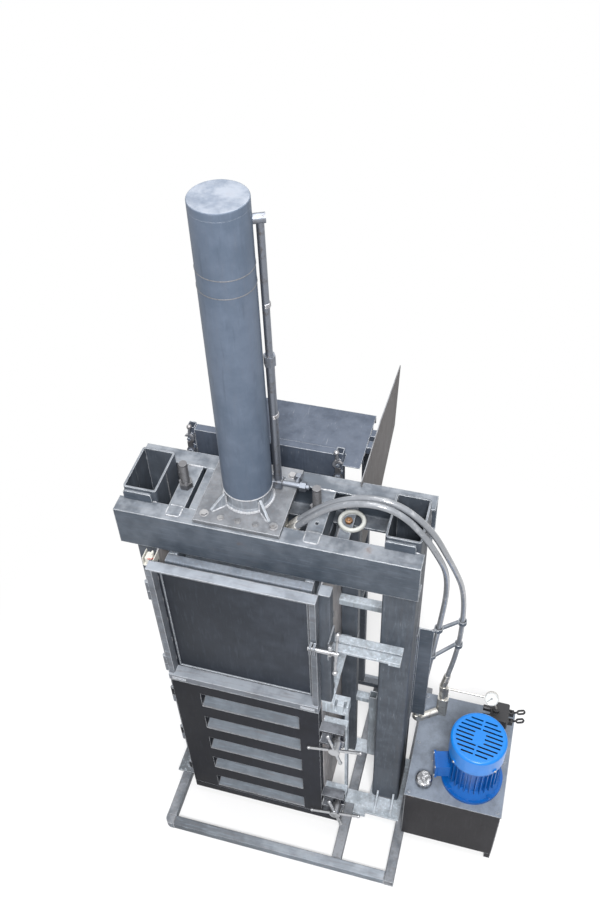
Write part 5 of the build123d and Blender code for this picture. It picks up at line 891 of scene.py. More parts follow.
    def slab(self, low: Sequence[float], high: Sequence[float], bevel: float) -> None:
        """Box with rounded edges.

        Args:
            low: its lowest corner.
            high: its highest corner.
            bevel: width of the rounding.
        """
        made = bmesh.ops.create_cube(self.mesh, size=1.0)
        size = Vector(high) - Vector(low)
        middle = (Vector(high) + Vector(low)) / 2
        place = Matrix.Translation(middle) @ Matrix.Diagonal((*size, 1.0))
        bmesh.ops.transform(self.mesh, matrix=place, verts=made["verts"])
        edges = {e for v in made["verts"] for e in v.link_edges}
        bmesh.ops.bevel(self.mesh, geom=list(edges), offset=bevel, segments=2, affect="EDGES",
                        profile=0.6)

    def place(self, name: str, finish: Finish, body: Body,
              slot: str | None = None) -> bpy.types.Object:
        """Turn the mesh into a piece that rides on a body.

        Args:
            name: the piece's name.
            finish: its finish.
            body: the body that it rides on.
            slot: the record's material slot, if one fits; not used.

        Returns:
            The new object.
        """
        data = bpy.data.meshes.new(name)
        bmesh.ops.recalc_face_normals(self.mesh, faces=self.mesh.faces)
        self.mesh.to_mesh(data)
        self.mesh.free()
        data.materials.append(Rack.take(finish))
        piece = bpy.data.objects.new(name, data)
        bpy.context.scene.collection.objects.link(piece)
        data.shade_smooth()
        data.set_sharp_from_angle(angle=math.radians(38))
        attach(piece, body.value)
        LOG.info("placed %s on %s, %d faces", name, body.value, len(data.polygons))
        return piece


@dataclass
class Studio:
    """Floor, lamps, world and the camera at the photograph's viewing angle."""

    eye: Colour = (0.9478, -2.3401, 5.0489)
    azimuth: float = -17.31
    elevation: float = 46.01
    roll: float = -2.57
    lens: float = 38.53
    ambient: float = 0.32
    key_watts: float = 900.0
    top_watts: float = 230.0
    floor_colour: Colour = (0.93, 0.93, 0.935)
    floor_middle: Colour = (0.4, 0.0, 0.0)
    floor_lift: float = 0.40
    floor_side: float = 14.0
    white_from: float = 1.1
    white_to: float = 2.6
    lamp_aim: Colour = (0.1, 0.0, 1.2)
    key_spot: Colour = (1.8, -4.9, 8.6)
    key_size: float = 2.2
    top_spot: Colour = (0.4, 0.8, 7.2)
    top_size: float = 3.6

    def camera(self) -> None:
        """Place the camera."""
        turn, drop, roll = (math.radians(a) for a in (self.azimuth, self.elevation, self.roll))
        ahead = Vector((math.sin(turn) * math.cos(drop), math.cos(turn) * math.cos(drop),
                        -math.sin(drop)))
        right = Vector((math.cos(turn), -math.sin(turn), 0.0))
        up = right.cross(ahead)
        across = right * math.cos(roll) + up * math.sin(roll)
        rise = up * math.cos(roll) - right * math.sin(roll)
        data = bpy.data.cameras.new("camera")
        data.lens = self.lens
        data.clip_end = 60.0
        camera = bpy.data.objects.new("camera", data)
        bpy.context.scene.collection.objects.link(camera)
        axes = Matrix((across, rise, -ahead)).transposed()
        camera.matrix_world = Matrix.Translation(Vector(self.eye)) @ axes.to_4x4()
        bpy.context.scene.camera = camera

    def lamp(self, name: str, spot: Colour, aim: Colour, size: float, watts: float) -> None:
        """Add a soft square lamp.

        Args:
            name: the lamp's name.
            spot: where it hangs.
            aim: what it points at.
            size: length of its side.
            watts: its power.
        """
        data = bpy.data.lights.new(name, "AREA")
        data.shape = "SQUARE"
        data.size = size
        data.energy = watts
        lamp = bpy.data.objects.new(name, data)
        lamp.location = spot
        lamp.rotation_mode = "QUATERNION"
        lamp.rotation_quaternion = (Vector(aim) - Vector(spot)).to_track_quat("-Z", "Y")
        bpy.context.scene.collection.objects.link(lamp)

    def world(self) -> None:
        """White for what the camera and mirrors see, softer as light."""
        graph = Graph("studio_world", world=True)
        strength = self.ambient + graph.sight() * (1.0 - self.ambient)
        back = graph.node("ShaderNodeBackground", None,
                          {"Color": (1.0, 1.0, 1.0), "Strength": strength})
        graph.node("ShaderNodeOutputWorld", None, {"Surface": graph.wire(back)})
        bpy.context.scene.world = graph.owner

    def floor(self) -> None:
        """Pale floor that keeps the machine's shadow and turns white farther off."""
        graph = Graph("studio_floor")
        cloud = graph.noise(1.4, 3.0, 0.5)
        worn = tuple(c * 0.985 for c in self.floor_colour)
        tone = graph.mix(cloud * 0.5, self.floor_colour, worn)
        matt = graph.node("ShaderNodeBsdfDiffuse", None, {"Color": tone})
        glow = graph.node("ShaderNodeEmission", None, {"Color": (1.0, 1.0, 1.0), "Strength": 1.0})
        away = graph.node("ShaderNodeVectorMath", {"operation": "DISTANCE"},
                          {0: graph.place(), 1: self.floor_middle})
        far = graph.step(graph.wire(away, "Value"), self.white_from, self.white_to)
        cover = graph.sight() * (self.floor_lift + far * (1.0 - self.floor_lift))
        mixed = graph.node("ShaderNodeMixShader", None,
                           {0: cover, 1: graph.wire(matt), 2: graph.wire(glow)})
        graph.node("ShaderNodeOutputMaterial", None, {"Surface": graph.wire(mixed)})
        side = self.floor_side
        data = bpy.data.meshes.new("floor")
        ends = [(-side, -side, 0), (side, -side, 0), (side, side, 0), (-side, side, 0)]
        data.from_pydata(ends, [], [(0, 1, 2, 3)])
        data.materials.append(graph.owner)
        floor = bpy.data.objects.new("floor", data)
        bpy.context.scene.collection.objects.link(floor)

    def build(self) -> None:
        """Make the whole studio."""
        bpy.context.scene.view_settings.view_transform = "Standard"
        self.camera()
        self.world()
        self.floor()
        self.lamp("key_lamp", self.key_spot, self.lamp_aim, self.key_size, self.key_watts)
        self.lamp("top_lamp", self.top_spot, self.lamp_aim, self.top_size, self.top_watts)
        LOG.info("studio ready")


@dataclass
class Hoses:
    """The two pressure hoses from the cylinder's foot over the column to the power pack."""

    radius: float = 0.0125
    outer_length: float = 2.202
    inner_length: float = 2.334
    outer: tuple = (
        (0.196, -0.0695, 2.158), (0.233, -0.071, 2.209), (0.313, -0.075, 2.302),
        (0.409, -0.075, 2.374), (0.520, -0.075, 2.408), (0.612, -0.075, 2.392),
        (0.689, -0.075, 2.334), (0.750, -0.058, 2.236), (0.795, -0.020, 2.090),
        (0.835, 0.040, 1.920), (0.868, 0.110, 1.735), (0.884, 0.165, 1.540),
        (0.890, 0.190, 1.350), (0.888, 0.212, 1.170), (0.878, 0.216, 1.020),
        (0.864, 0.216, 0.900), (0.852, 0.214, 0.810))
    inner: tuple = (
        (0.196, -0.097, 2.151), (0.232, -0.0985, 2.202), (0.333, -0.102, 2.322),
        (0.428, -0.104, 2.386), (0.539, -0.104, 2.408), (0.633, -0.102, 2.370),
        (0.713, -0.096, 2.270), (0.768, -0.060, 2.122), (0.800, 0.0, 1.960),
        (0.808, 0.050, 1.800), (0.806, 0.095, 1.640), (0.797, 0.120, 1.460),
        (0.786, 0.128, 1.290), (0.775, 0.125, 1.130), (0.764, 0.118, 0.980),
        (0.755, 0.115, 0.850), (0.745, 0.115, 0.740), (0.738, 0.115, 0.650))
    sleeve_length: float = 0.048

    def hose(self, name: str, route: tuple, length: float) -> bpy.types.Object:
        """Lay one hose on a smooth line.

        Args:
            name: the hose's name.
            route: control points of its line.
            length: its real length; not used.

        Returns:
            The hose.
        """
        data = bpy.data.curves.new(name, "CURVE")
        data.dimensions = "3D"
        data.bevel_depth = self.radius
        data.bevel_resolution = 5
        data.use_fill_caps = True
        data.resolution_u = 10
        spline = data.splines.new("NURBS")
        spline.points.add(len(route) - 1)
        for point, place in zip(spline.points, route):
            point.co = (*place, 1.0)
        spline.order_u = 3
        spline.use_endpoint_u = True
        data.materials.append(Rack.take(GREY_HOSE))
        hose = bpy.data.objects.new(name, data)
        bpy.context.scene.collection.objects.link(hose)
        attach(hose, Body.FRAME.value)
        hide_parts("hoses")
        sleeves = [self.sleeve(f"{name}_sleeve_{end}", tip, inner)
                   for end, tip, inner in (("start", route[0], route[1]),
                                           ("end", route[-1], route[-2]))]
        LOG.info("laid %s", name)
        return hose

    def sleeve(self, name: str, tip: Colour, inner: Colour) -> bpy.types.Object:
        """Crimped sleeve and its nut on a hose's end.

        Args:
            name: the piece's name.
            tip: the hose's end.
            inner: the next point of its route.

        Returns:
            The sleeve.
        """
        piece = MeshPiece()
        axis = (Vector(inner) - Vector(tip)).normalized()
        r = self.radius
        profile = [(r + 0.0002, 0.0), (r + 0.0040, 0.0), (r + 0.0048, 0.002)]
        rings = 7
        for k in range(rings):
            z = 0.004 + (self.sleeve_length - 0.010) * k / (rings - 1)
            profile += [(r + 0.0046, z), (r + 0.0034, z + 0.002)]
        profile += [(r + 0.0030, self.sleeve_length), (r + 0.0002, self.sleeve_length)]
        piece.lathe(tip, axis, profile, 28)
        return piece.place(name, STEEL_FITTING, Body.FRAME, "bolt_steel")

    def build(self) -> None:
        """Lay both hoses."""
        self.hose("hose_outer", self.outer, self.outer_length)
        self.hose("hose_inner", self.inner, self.inner_length)


@dataclass
class Seam:
    """A weld along a straight joint."""

    start: Colour
    end: Colour
    width: float = 0.0035


@dataclass
class Dressing:
    """Common ground of the sub-assemblies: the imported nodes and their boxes."""

    nodes: dict

    def box(self, node: str) -> tuple[Vector, Vector]:
        """Lowest and highest corner of a node."""
        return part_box(node)

    def seams(self, name: str, seams: Sequence[Seam], body: Body = Body.FRAME,
              finish: Finish = WELD_DARK, slot: str = "frame_paint") -> bpy.types.Object:
        """Weld beads as one piece.

        Args:
            name: the piece's name.
            seams: the joints that are welded.
            body: what the welds ride on.
            finish: their finish.
            slot: the record's material slot.

        Returns:
            The piece.
        """
        piece = MeshPiece(len(name) + len(seams))
        for seam in seams:
            piece.bead(seam.start, seam.end, seam.width)
        return piece.place(name, finish, body, slot)


@dataclass
class BaseFrame(Dressing):
    """Rails on the floor and the foot plates."""

    rail: float = 0.050
    left: float = -0.457
    middle: float = 0.440
    right: float = 0.721
    front: float = -0.5315
    rear: float = 0.600
    foot_plate: float = 0.010
    rail_weld: float = 0.003
    foot_weld: float = 0.0045
    corner_gap: float = 0.005
    cross_gap: float = 0.006
    floor_gap: float = 0.008
    column_gap: float = 0.012

    def build(self) -> None:
        """Dress the rails and plates, and weld them."""
        Rack.dress(self.nodes, ["base_rails_side"], PAINT_RAIL)
        Rack.dress(self.nodes, ["base_rails_end"], PAINT_RAIL_END)
        Rack.dress(self.nodes, ["foot_plates"], PAINT_BRIGHT)
        self.seams("base_welds", self.rail_seams() + self.column_seams())

    def rail_seams(self) -> list[Seam]:
        """Joints between the rails.

        Returns:
            The seams of the corners, then those of the cross rail's front end.
        """
        top, width = self.rail, self.rail_weld
        seams = []
        for y in (self.front, self.rear - self.rail):
            for x in (self.left + self.rail, self.right):
                seams.append(Seam((x, y + self.corner_gap, top),
                                  (x, y + self.rail - self.corner_gap, top), width))
        y = self.front + self.rail
        sides = (self.middle, self.middle + self.rail)
        for x in sides:
            seams.append(Seam((x, y, self.floor_gap), (x, y, top - self.cross_gap), width))
        seams.append(Seam((sides[0] + self.cross_gap, y, top), (sides[1] - self.cross_gap, y, top),
                          width))
        return seams

    def column_seams(self) -> list[Seam]:
        """Joints between the columns and their foot plates.

        Returns:
            Four seams for each column.
        """
        top, gap, width = self.rail + self.foot_plate, self.column_gap, self.foot_weld
        seams = []
        for column in ("column_left", "column_right"):
            low, high = self.box(column)
            for y in (low.y, high.y):
                seams.append(Seam((low.x + gap, y, top), (high.x - gap, y, top), width))
            for x in (low.x, high.x):
                seams.append(Seam((x, low.y + gap, top), (x, high.y - gap, top), width))
        return seams


@dataclass
class Crosshead(Dressing):
    """Two channels on the columns, their bearers, studs and lifting ring, and the flange plate."""

    column_half_depth: float = 0.1115
    beam_top: float = 2.185
    beam_height: float = 0.200
    beam_flange: float = 0.075
    foot_top: float = 0.065
    beam_gap: float = 0.010
    end_gap: float = 0.005
    top_gap: float = 0.004
    bearers: tuple = ((-0.298, -0.232), (0.260, 0.326))
    clip_sides: float = 0.029
    clip_rear: float = -0.118
    clip_front: float = -0.160
    clip_face: float = -0.1645
    clip_face_half: float = 0.026
    clip_lift: float = 0.002
    studs: tuple = (-0.265, 0.278)
    stud_radius: float = 0.017
    thread_start: float = 0.027
    thread_length: float = 0.100
    thread_pitch: float = 0.004
    thread_depth: float = 0.0009
    plate: float = 0.020
    gauge_line: float = 0.32
    large_bolt_x: float = 0.140
    large_bolt: float = 0.0145
    small_bolt_pitch: float = 0.070
    small_bolt_offset: float = 0.006
    small_bolt: float = 0.0100
    ring_centre: Colour = (0.4045, 0.05575, 2.093)
    ring_radius: float = 0.048
    ring_bar: float = 0.0094
    nut_offset: Colour = (-0.013, 0.0, -0.008)
    nut_profile: tuple = ((0.0165, 0.0), (0.0165, 0.012), (0.0140, 0.0135), (0.0080, 0.0135),
                          (0.0075, 0.0180), (0.0060, 0.0190))

    def build(self) -> None:
        """Dress the crosshead, weld it, thread the studs and add washers and the ring's skin."""
        Rack.dress(self.nodes, ["beam_front", "beam_rear", "bearers"], PAINT_FRAME)
        Rack.dress(self.nodes, ["column_left", "column_right"], PAINT_COLUMN)
        Rack.dress(self.nodes, ["flange_plate"], PAINT_FLANGE)
        Rack.dress(self.nodes, ["flange_bolts"], STEEL_BOLT)
        Rack.dress(self.nodes, ["tie_studs"], STEEL_STUD)
        self.weld_columns()
        self.weld_bearers()
        self.thread_studs()
        self.washers()
        self.ring()

    def ring(self) -> None:
        """Enamel skin of the lifting ring, and the nut beside it."""
        piece = MeshPiece()
        centre = Vector(self.ring_centre)
        steps = 48
        path = []
        for k in range(steps):
            angle = 2 * math.pi * k / steps
            path.append(centre + Vector((math.cos(angle), math.sin(angle), 0)) * self.ring_radius)
        piece.sweep(path, [self.ring_bar] * steps, 16, closed=True)
        piece.place("ring_enamel_skin", RING_ENAMEL, Body.FRAME, "frame_paint")
        nut = MeshPiece()
        nut.lathe(centre + Vector(self.nut_offset), (0, 0, 1), self.nut_profile, 6)
        nut.place("ring_nut", NUT_BROWN, Body.FRAME, "bolt_steel")

    def weld_columns(self) -> None:
        """Seams down the columns and where the channels meet them."""
        top = self.beam_top
        underside = top - self.beam_height
        seams = []
        tops = []
        for name in ("column_left", "column_right"):
            low, high = self.box(name)
            for x in (low.x, high.x):
                seams.append(Seam((x, 0.0, self.foot_top), (x, 0.0, underside - self.beam_gap)))
                seams.append(Seam((x, 0.0, underside + self.beam_gap),
                                  (x, 0.0, high.z - self.top_gap), 0.0040))
            for side in (-1, 1):
                y = side * self.column_half_depth
                for x in (low.x, high.x):
                    seams.append(Seam((x, y, underside + self.end_gap),
                                      (x, y, top - self.end_gap), 0.0040))
                tops.append(Seam((low.x + self.top_gap, y, top), (high.x - self.top_gap, y, top),
                                 0.0060))
        self.seams("column_welds", seams)
        self.seams("column_top_welds", tops, finish=WELD_BRIGHT)

    def weld_bearers(self) -> None:
        """Stitch welds of the bearers and clip plates, left brighter by grinding."""
        seams = []
        lift = self.beam_top + self.clip_lift
        for low_x, high_x in self.bearers:
            for side in (-1, 1):
                y = side * self.column_half_depth
                seams.append(Seam((low_x, y, self.beam_top), (high_x, y, self.beam_top), 0.0045))
            middle = (low_x + high_x) / 2
            for x in (middle - self.clip_sides, middle + self.clip_sides):
                seams.append(Seam((x, self.clip_front, lift), (x, self.clip_rear, lift), 0.0030))
            seams.append(Seam((middle - self.clip_face_half, self.clip_face, lift),
                              (middle + self.clip_face_half, self.clip_face, lift), 0.0032))
        self.seams("bearer_welds", seams, finish=WELD_BRIGHT)

    def thread_studs(self) -> None:
        """Threads of the two long studs."""
        piece = MeshPiece()
        for x in self.studs:
            start = Vector((x, 0.0, self.beam_top + self.thread_start))
            piece.helix(start, (0, 0, 1), self.stud_radius, self.thread_pitch, self.thread_length,
                        self.thread_depth)
        piece.place("stud_threads", STEEL_STUD, Body.FRAME, "bolt_steel")

    def washers(self) -> None:
        """Flat washers under the flange plate's bolt heads."""
        piece = MeshPiece()
        top = self.beam_top + self.plate
        reach = self.column_half_depth + self.beam_flange * self.gauge_line
        spots = [(sx * self.large_bolt_x, sy * reach, self.large_bolt)
                 for sx in (-1, 1) for sy in (-1, 1)]
        spots += [(k * self.small_bolt_pitch, sy * (reach + self.small_bolt_offset),
                   self.small_bolt) for k in (-1, 0, 1) for sy in (-1, 1)]
        for x, y, radius in spots:
            piece.lathe((x, y, top), (0, 0, 1),
                        [(radius, 0.0), (radius + 0.0035, 0.0002), (radius + 0.0040, 0.0008),
                         (radius + 0.0036, 0.0020), (radius, 0.0022)], 24)
        piece.place("flange_washers", STEEL_BOLT, Body.FRAME, "bolt_steel")


@dataclass
class Cylinder(Dressing):
    """Barrel, gland neck with gussets, return pipe with its clips, and the ram with its platen."""

    plate_top: float = 2.205
    barrel_low: float = 2.275
    neck_radius: float = 0.098
    barrel_radius: float = 0.097
    bands: tuple = (3.228, 3.296)
    gusset_angles: tuple = (-135, -45, 45, 135)
    gusset_half: float = 0.0055
    gusset_foot: float = 0.104
    gusset_tip: float = 0.166
    gusset_wall: float = 0.0995
    gusset_top: float = 2.262
    pipe_angle: float = 24.0
    pipe_reach: float = 0.119
    pipe_clips: tuple = ((2.62, 0.0172), (3.12, 0.0142))
    clip_turn: float = 216.0
    clip_bar: float = 0.0032
    clip_half: float = 0.006

    def build(self) -> None:
        """Dress the cylinder and the ram, and weld the neck, the gussets and the band."""
        Rack.dress(self.nodes, ["cylinder_barrel"], PAINT_CYLINDER)
        Rack.dress(self.nodes, ["gland_neck"], PAINT_PLATE)
        Rack.dress(self.nodes, ["return_pipe"], PIPE_STEEL)
        Rack.dress(self.nodes, ["ram_rod"], CHROME_ROD)
        Rack.dress(self.nodes, ["platen"], PAINT_PLATEN)
        self.weld_rings()
        self.weld_gussets()
        self.clips()

    def weld_rings(self) -> None:
        """Welds round the neck's foot, the barrel's foot and both ends of the band."""
        up = (0, 0, 1)
        piece = MeshPiece(5)
        piece.bead_ring((0, 0, self.plate_top + 0.003), up, self.neck_radius + 0.002, 0.0060)
        piece.bead_ring((0, 0, self.barrel_low), up, self.barrel_radius - 0.002, 0.0045)
        piece.place("cylinder_welds", WELD_BRIGHT, Body.FRAME, "cylinder_paint")
        band = MeshPiece(6)
        for level in self.bands:
            band.bead_ring((0, 0, level), up, self.barrel_radius - 0.001, 0.0026)
        band.place("band_welds", WELD_DARK, Body.FRAME, "cylinder_paint")

    def weld_gussets(self) -> None:
        """Welds down both sides of each gusset and along its foot."""
        low = Vector((0, 0, self.plate_top))
        high = Vector((0, 0, self.gusset_top))
        seams = []
        for angle in self.gusset_angles:
            turn = math.radians(angle)
            out = Vector((math.cos(turn), math.sin(turn), 0))
            side = Vector((-out.y, out.x, 0)) * self.gusset_half
            for sign in (-1, 1):
                foot = out * self.gusset_foot + side * sign
                tip = out * self.gusset_tip + side * sign
                seams.append(Seam(tuple(foot + low), tuple(tip + low), 0.0046))
                wall = out * self.gusset_wall + side * sign
                seams.append(Seam(tuple(wall + low), tuple(wall + high), 0.0038))
        self.seams("gusset_welds", seams, finish=WELD_BRIGHT, slot="cylinder_paint")

    def clips(self) -> None:
        """Two strap clips that hold the return pipe to the barrel."""
        piece = MeshPiece()
        turn = math.radians(self.pipe_angle)
        steps = 18
        for level, radius in self.pipe_clips:
            centre = Vector((self.pipe_reach * math.cos(turn), self.pipe_reach * math.sin(turn),
                             level))
            path = []
            for k in range(steps + 1):
                angle = turn + math.radians(self.clip_turn * k / steps - self.clip_turn / 2)
                path.append(centre + Vector((math.cos(angle), math.sin(angle), 0)) * radius)
            for rise in (-self.clip_half, 0.0, self.clip_half):
                piece.sweep([p + Vector((0, 0, rise)) for p in path],
                            [self.clip_bar] * len(path), 8)
        piece.place("pipe_clips", STEEL_HOOK, Body.FRAME, "clamp_steel")


@dataclass
class Chamber(Dressing):
    """Walls, floor, sill, posts, rails, the ties to the right column and the hoses' bracket."""

    split: float = 1.185
    rail_face: float = 0.347
    rail_stitches: tuple = ((-0.190, -0.110), (-0.060, 0.020), (0.070, 0.150))
    tie_face: float = 0.348
    ties: tuple = (-0.1495, -0.1975)
    tie_depth: float = 0.030
    tie_low: float = 1.515
    tie_top: float = 1.529
    tie_column_y: float = -0.1135
    right_post: tuple = (0.390, -0.1985)
    right_stitches: tuple = (1.230, 1.450, 1.780)
    right_stitch: float = 0.045
    left_post: tuple = (-0.340, -0.2485)
    left_stitches: tuple = (0.30, 0.62, 0.94, 1.30, 1.62, 1.86)
    left_stitch: float = 0.05
    post_top: float = 1.985
    cap_corner: tuple = (0.3405, -0.2480)
    cap_side: float = 0.049
    cap_thickness: float = 0.0020
    cap_edge: float = 0.0006

    def build(self) -> None:
        """Dress the chamber, weld its rails and cap the right front post."""
        Rack.dress(self.nodes, ["wall_left", "wall_right", "wall_rear", "chamber_floor"],
                   PAINT_CHAMBER)
        Rack.dress(self.nodes, ["sill_beam"], PAINT_LOWER)
        Rack.dress(self.nodes, ["door_posts"], PAINT_COLUMN)
        Rack.dress(self.nodes, ["side_rails", "tie_bars"], PAINT_BRIGHT)
        Rack.dress(self.nodes, ["hose_bracket"], PAINT_FRAME)
        self.welds()
        self.post_cap()

    def welds(self) -> None:
        """Stitches of the rails, the ties and the front posts."""
        seams = [Seam((self.rail_face, start, self.split), (self.rail_face, end, self.split))
                 for start, end in self.rail_stitches]
        column, _ = self.box("column_right")
        for y in self.ties:
            seams.append(Seam((self.tie_face, y, self.tie_top),
                              (self.tie_face, y + self.tie_depth, self.tie_top)))
            seams.append(Seam((column.x, self.tie_column_y, self.tie_low),
                              (column.x, self.tie_column_y, self.tie_top)))
        for post, levels, length in ((self.right_post, self.right_stitches, self.right_stitch),
                                     (self.left_post, self.left_stitches, self.left_stitch)):
            seams += [Seam((*post, z), (*post, z + length), 0.0030) for z in levels]
        self.seams("chamber_welds", seams)

    def post_cap(self) -> None:
        """Flat cap of the right front post."""
        x, y = self.cap_corner
        cap = MeshPiece()
        cap.slab((x, y, self.post_top),
                 (x + self.cap_side, y + self.cap_side, self.post_top + self.cap_thickness),
                 self.cap_edge)
        cap.place("post_cap", PAINT_DOOR, Body.FRAME, "frame_paint")


@dataclass
class UpperDoor(Dressing):
    """Framed sheet door with its hinges, latch and keeper."""

    front: float = -0.2965
    low: float = 1.173
    high: float = 1.985
    left: float = -0.358
    right: float = 0.343
    stile: float = 0.026
    bottom_rail: float = 0.040
    top_gap: float = 0.008
    corner_gap: float = 0.003
    skin_face: float = -0.2535
    stitch_low: float = 1.26
    stitch_inset: float = 0.08
    stitch_pitch: float = 0.15
    upright_stitch: float = 0.035
    rail_stitch: float = 0.03
    loop_proud: float = 0.012
    loop_starts: tuple = (0.016, 0.080)
    loop_width: float = 0.064
    loop_levels: tuple = (0.010, 0.028)
    loop_bar: float = 0.0013

    def build(self) -> None:
        """Dress the door and the latch, and add the door's welds and slot outlines."""
        Rack.dress(self.nodes, ["upper_door_frame", "hinge_fixed"], PAINT_DOOR)
        Rack.dress(self.nodes, ["upper_door_skin"], PAINT_SKIN)
        Rack.dress(self.nodes, ["upper_latch"], STEEL_HANDLED)
        Rack.dress(self.nodes, ["latch_keeper"], PAINT_FRAME)
        self.corner_welds()
        self.rail_loops()

    def corner_welds(self) -> None:
        """Welds at the frame's corners and along the skin."""
        seams = []
        gap, face, rail = self.corner_gap, self.skin_face, self.low + self.bottom_rail
        for x in (self.left, self.right - self.stile):
            for z in (rail, self.high - self.top_gap):
                seams.append(Seam((x + gap, self.front, z), (x + self.stile - gap, self.front, z),
                                  0.0022))
        inner = (self.left + self.stile, self.right - self.stile)
        for x in inner:
            for k in range(5):
                z = self.stitch_low + k * self.stitch_pitch
                seams.append(Seam((x, face, z), (x, face, z + self.upright_stitch), 0.0028))
        for k in range(4):
            x = inner[0] + self.stitch_inset + k * self.stitch_pitch
            seams.append(Seam((x, face, rail), (x + self.rail_stitch, face, rail), 0.0028))
        self.seams("upper_door_welds", seams, Body.UPPER_DOOR, slot="door_paint")

    def rail_loops(self) -> None:
        """Raised outlines round the slots at the bottom rail's ends."""
        piece = MeshPiece()
        y = self.front - self.loop_proud
        low, high = (self.low + level for level in self.loop_levels)
        for start in (self.left + self.loop_starts[0], self.right - self.loop_starts[1]):
            end = start + self.loop_width
            rim = [(start, low), (end, low), (end, high), (start, high)]
            path = [Vector((x, y, z)) for x, z in outline(rim, 6)]
            piece.sweep(path, [self.loop_bar] * len(path), 6, closed=True)
        piece.place("bottom_rail_loops", WELD_BRIGHT, Body.UPPER_DOOR, "door_paint")


@dataclass
class LowerDoor(Dressing):
    """Slotted door with its sloping shelves, ears, and the two capstan clamps."""

    front: float = -0.2965
    slot_left: float = -0.225
    slot_right: float = 0.247
    slot_low: float = 0.128
    slot_pitch: float = 0.208
    slots: int = 5
    shelf_weld_start: tuple = (0.004, 0.006)
    shelf_weld_end: tuple = (0.044, 0.022)
    lip: float = 0.0026
    lip_gap: float = 0.001
    clamp_x: float = 0.425
    levels: tuple = (0.935, 0.260)
    ear_half: float = 0.050
    ear_root: tuple = (0.343, -0.292, -0.255)
    guide_ends: tuple = (0.398, 0.452)
    guide_face: float = -0.2705
    anchor_half: float = 0.034
    anchor_root: tuple = (0.346, -0.244, -0.206)
    screw_radius: float = 0.014
    thread_start: float = -0.3000
    thread_pitch: float = 0.006
    thread_length: float = 0.026
    thread_depth: float = 0.0007

    def build(self) -> None:
        """Dress the door and the clamps, and add their welds, lips and threads."""
        Rack.dress(self.nodes, ["lower_door_plate"], PAINT_LOWER)
        Rack.dress(self.nodes, ["lower_door_shelves"], PAINT_SHELF)
        Rack.dress(self.nodes, ["clamp_screw_upper", "clamp_screw_lower"], STEEL_HANDLED)
        Rack.dress(self.nodes, ["clamp_collar_upper", "clamp_collar_lower"], STEEL_HOOK)
        Rack.dress(self.nodes, ["clamp_anchors"], PAINT_BRIGHT)
        self.shelf_welds()
        self.lips()
        self.ear_welds()
        self.threads()

    def shelf_welds(self) -> None:
        """Short welds at both ends of each shelf."""
        (near, low), (far, high) = self.shelf_weld_start, self.shelf_weld_end
        seams = []
        for k in range(self.slots):
            z = self.slot_low + k * self.slot_pitch
            for x in (self.slot_left, self.slot_right):
                seams.append(Seam((x, self.front + near, z + low), (x, self.front + far, z + high),
                                  0.0026))
        self.seams("shelf_welds", seams, Body.LOWER_DOOR, slot="door_paint")

    def lips(self) -> None:
        """Worn lip along the front of each shelf."""
        piece = MeshPiece(9)
        steps = 40
        start = self.slot_left + self.lip_gap
        length = self.slot_right - self.slot_left - 2 * self.lip_gap
        for k in range(self.slots):
            z = self.slot_low + k * self.slot_pitch
            path, radii = [], []
            for i in range(steps + 1):
                x = start + length * i / steps
                path.append(Vector((x, self.front + self.lip, z + self.lip)))
                radii.append(self.lip + piece.random.uniform(-0.0002, 0.0003))
            piece.sweep(path, radii, 8)
        piece.place("shelf_lips", WELD_DARK, Body.LOWER_DOOR, "door_paint")

    def ear_welds(self) -> None:
        """Welds that hold the clamps' ears and guide plates, and the anchors on their post."""
        ears, anchors = [], []
        x, near, far = self.ear_root
        for level in self.levels:
            for sign in (-1, 1):
                z = level + sign * self.ear_half
                ears.append(Seam((x, near, z), (x, far, z), 0.0038))
                ears.append(Seam((self.guide_ends[0], self.guide_face, z),
                                 (self.guide_ends[1], self.guide_face, z), 0.0036))
        self.seams("ear_welds", ears, Body.LOWER_DOOR, WELD_BRIGHT, "door_paint")
        x, near, far = self.anchor_root
        for level in self.levels:
            for sign in (-1, 1):
                z = level + sign * self.anchor_half
                anchors.append(Seam((x, near, z), (x, far, z), 0.0038))
        self.seams("anchor_welds", anchors, Body.FRAME, WELD_BRIGHT)

    def threads(self) -> None:
        """Threads on both clamp screws behind the hub."""
        for level, name, body in ((self.levels[0], "upper", Body.SCREW_UPPER),
                                  (self.levels[1], "lower", Body.SCREW_LOWER)):
            piece = MeshPiece()
            piece.helix(Vector((self.clamp_x, self.thread_start, level)), (0, 1, 0),
                        self.screw_radius - self.thread_depth, self.thread_pitch,
                        self.thread_length, self.thread_depth)
            piece.place(f"clamp_thread_{name}", STEEL_HANDLED, body, "clamp_steel")


@dataclass
class RearFeed(Dressing):
    """Rear panel, feed table, wing plate, hooks and legs."""

    face: float = 0.2445
    wing_x: float = 0.394
    table_top: float = 2.213
    table_start: float = 0.30
    table_pitch: float = 0.065
    table_stitch: float = 0.025
    table_stitches: int = 4
    posts: tuple = (-0.311, 0.290)
    panel_levels: tuple = (2.02, 2.12, 2.21)
    panel_stitch: float = 0.03

    def build(self) -> None:
        """Dress the rear and stitch its sheets."""
        Rack.dress(self.nodes, ["rear_panel", "feed_table"], PAINT_PANEL)
        Rack.dress(self.nodes, ["wing_plate"], PAINT_WING)
        Rack.dress(self.nodes, ["hopper_legs"], PAINT_FRAME)
        Rack.dress(self.nodes, ["hook_left", "hook_right"], STEEL_HOOK)
        x, z = self.wing_x, self.table_top
        seams = []
        for k in range(self.table_stitches):
            y = self.table_start + k * self.table_pitch
            seams.append(Seam((x, y, z), (x, y + self.table_stitch, z), 0.0030))
        for x in self.posts:
            for z in self.panel_levels:
                seams.append(Seam((x, self.face, z), (x, self.face, z + self.panel_stitch),
                                  0.0028))
        self.seams("feed_welds", seams, slot="panel_paint")


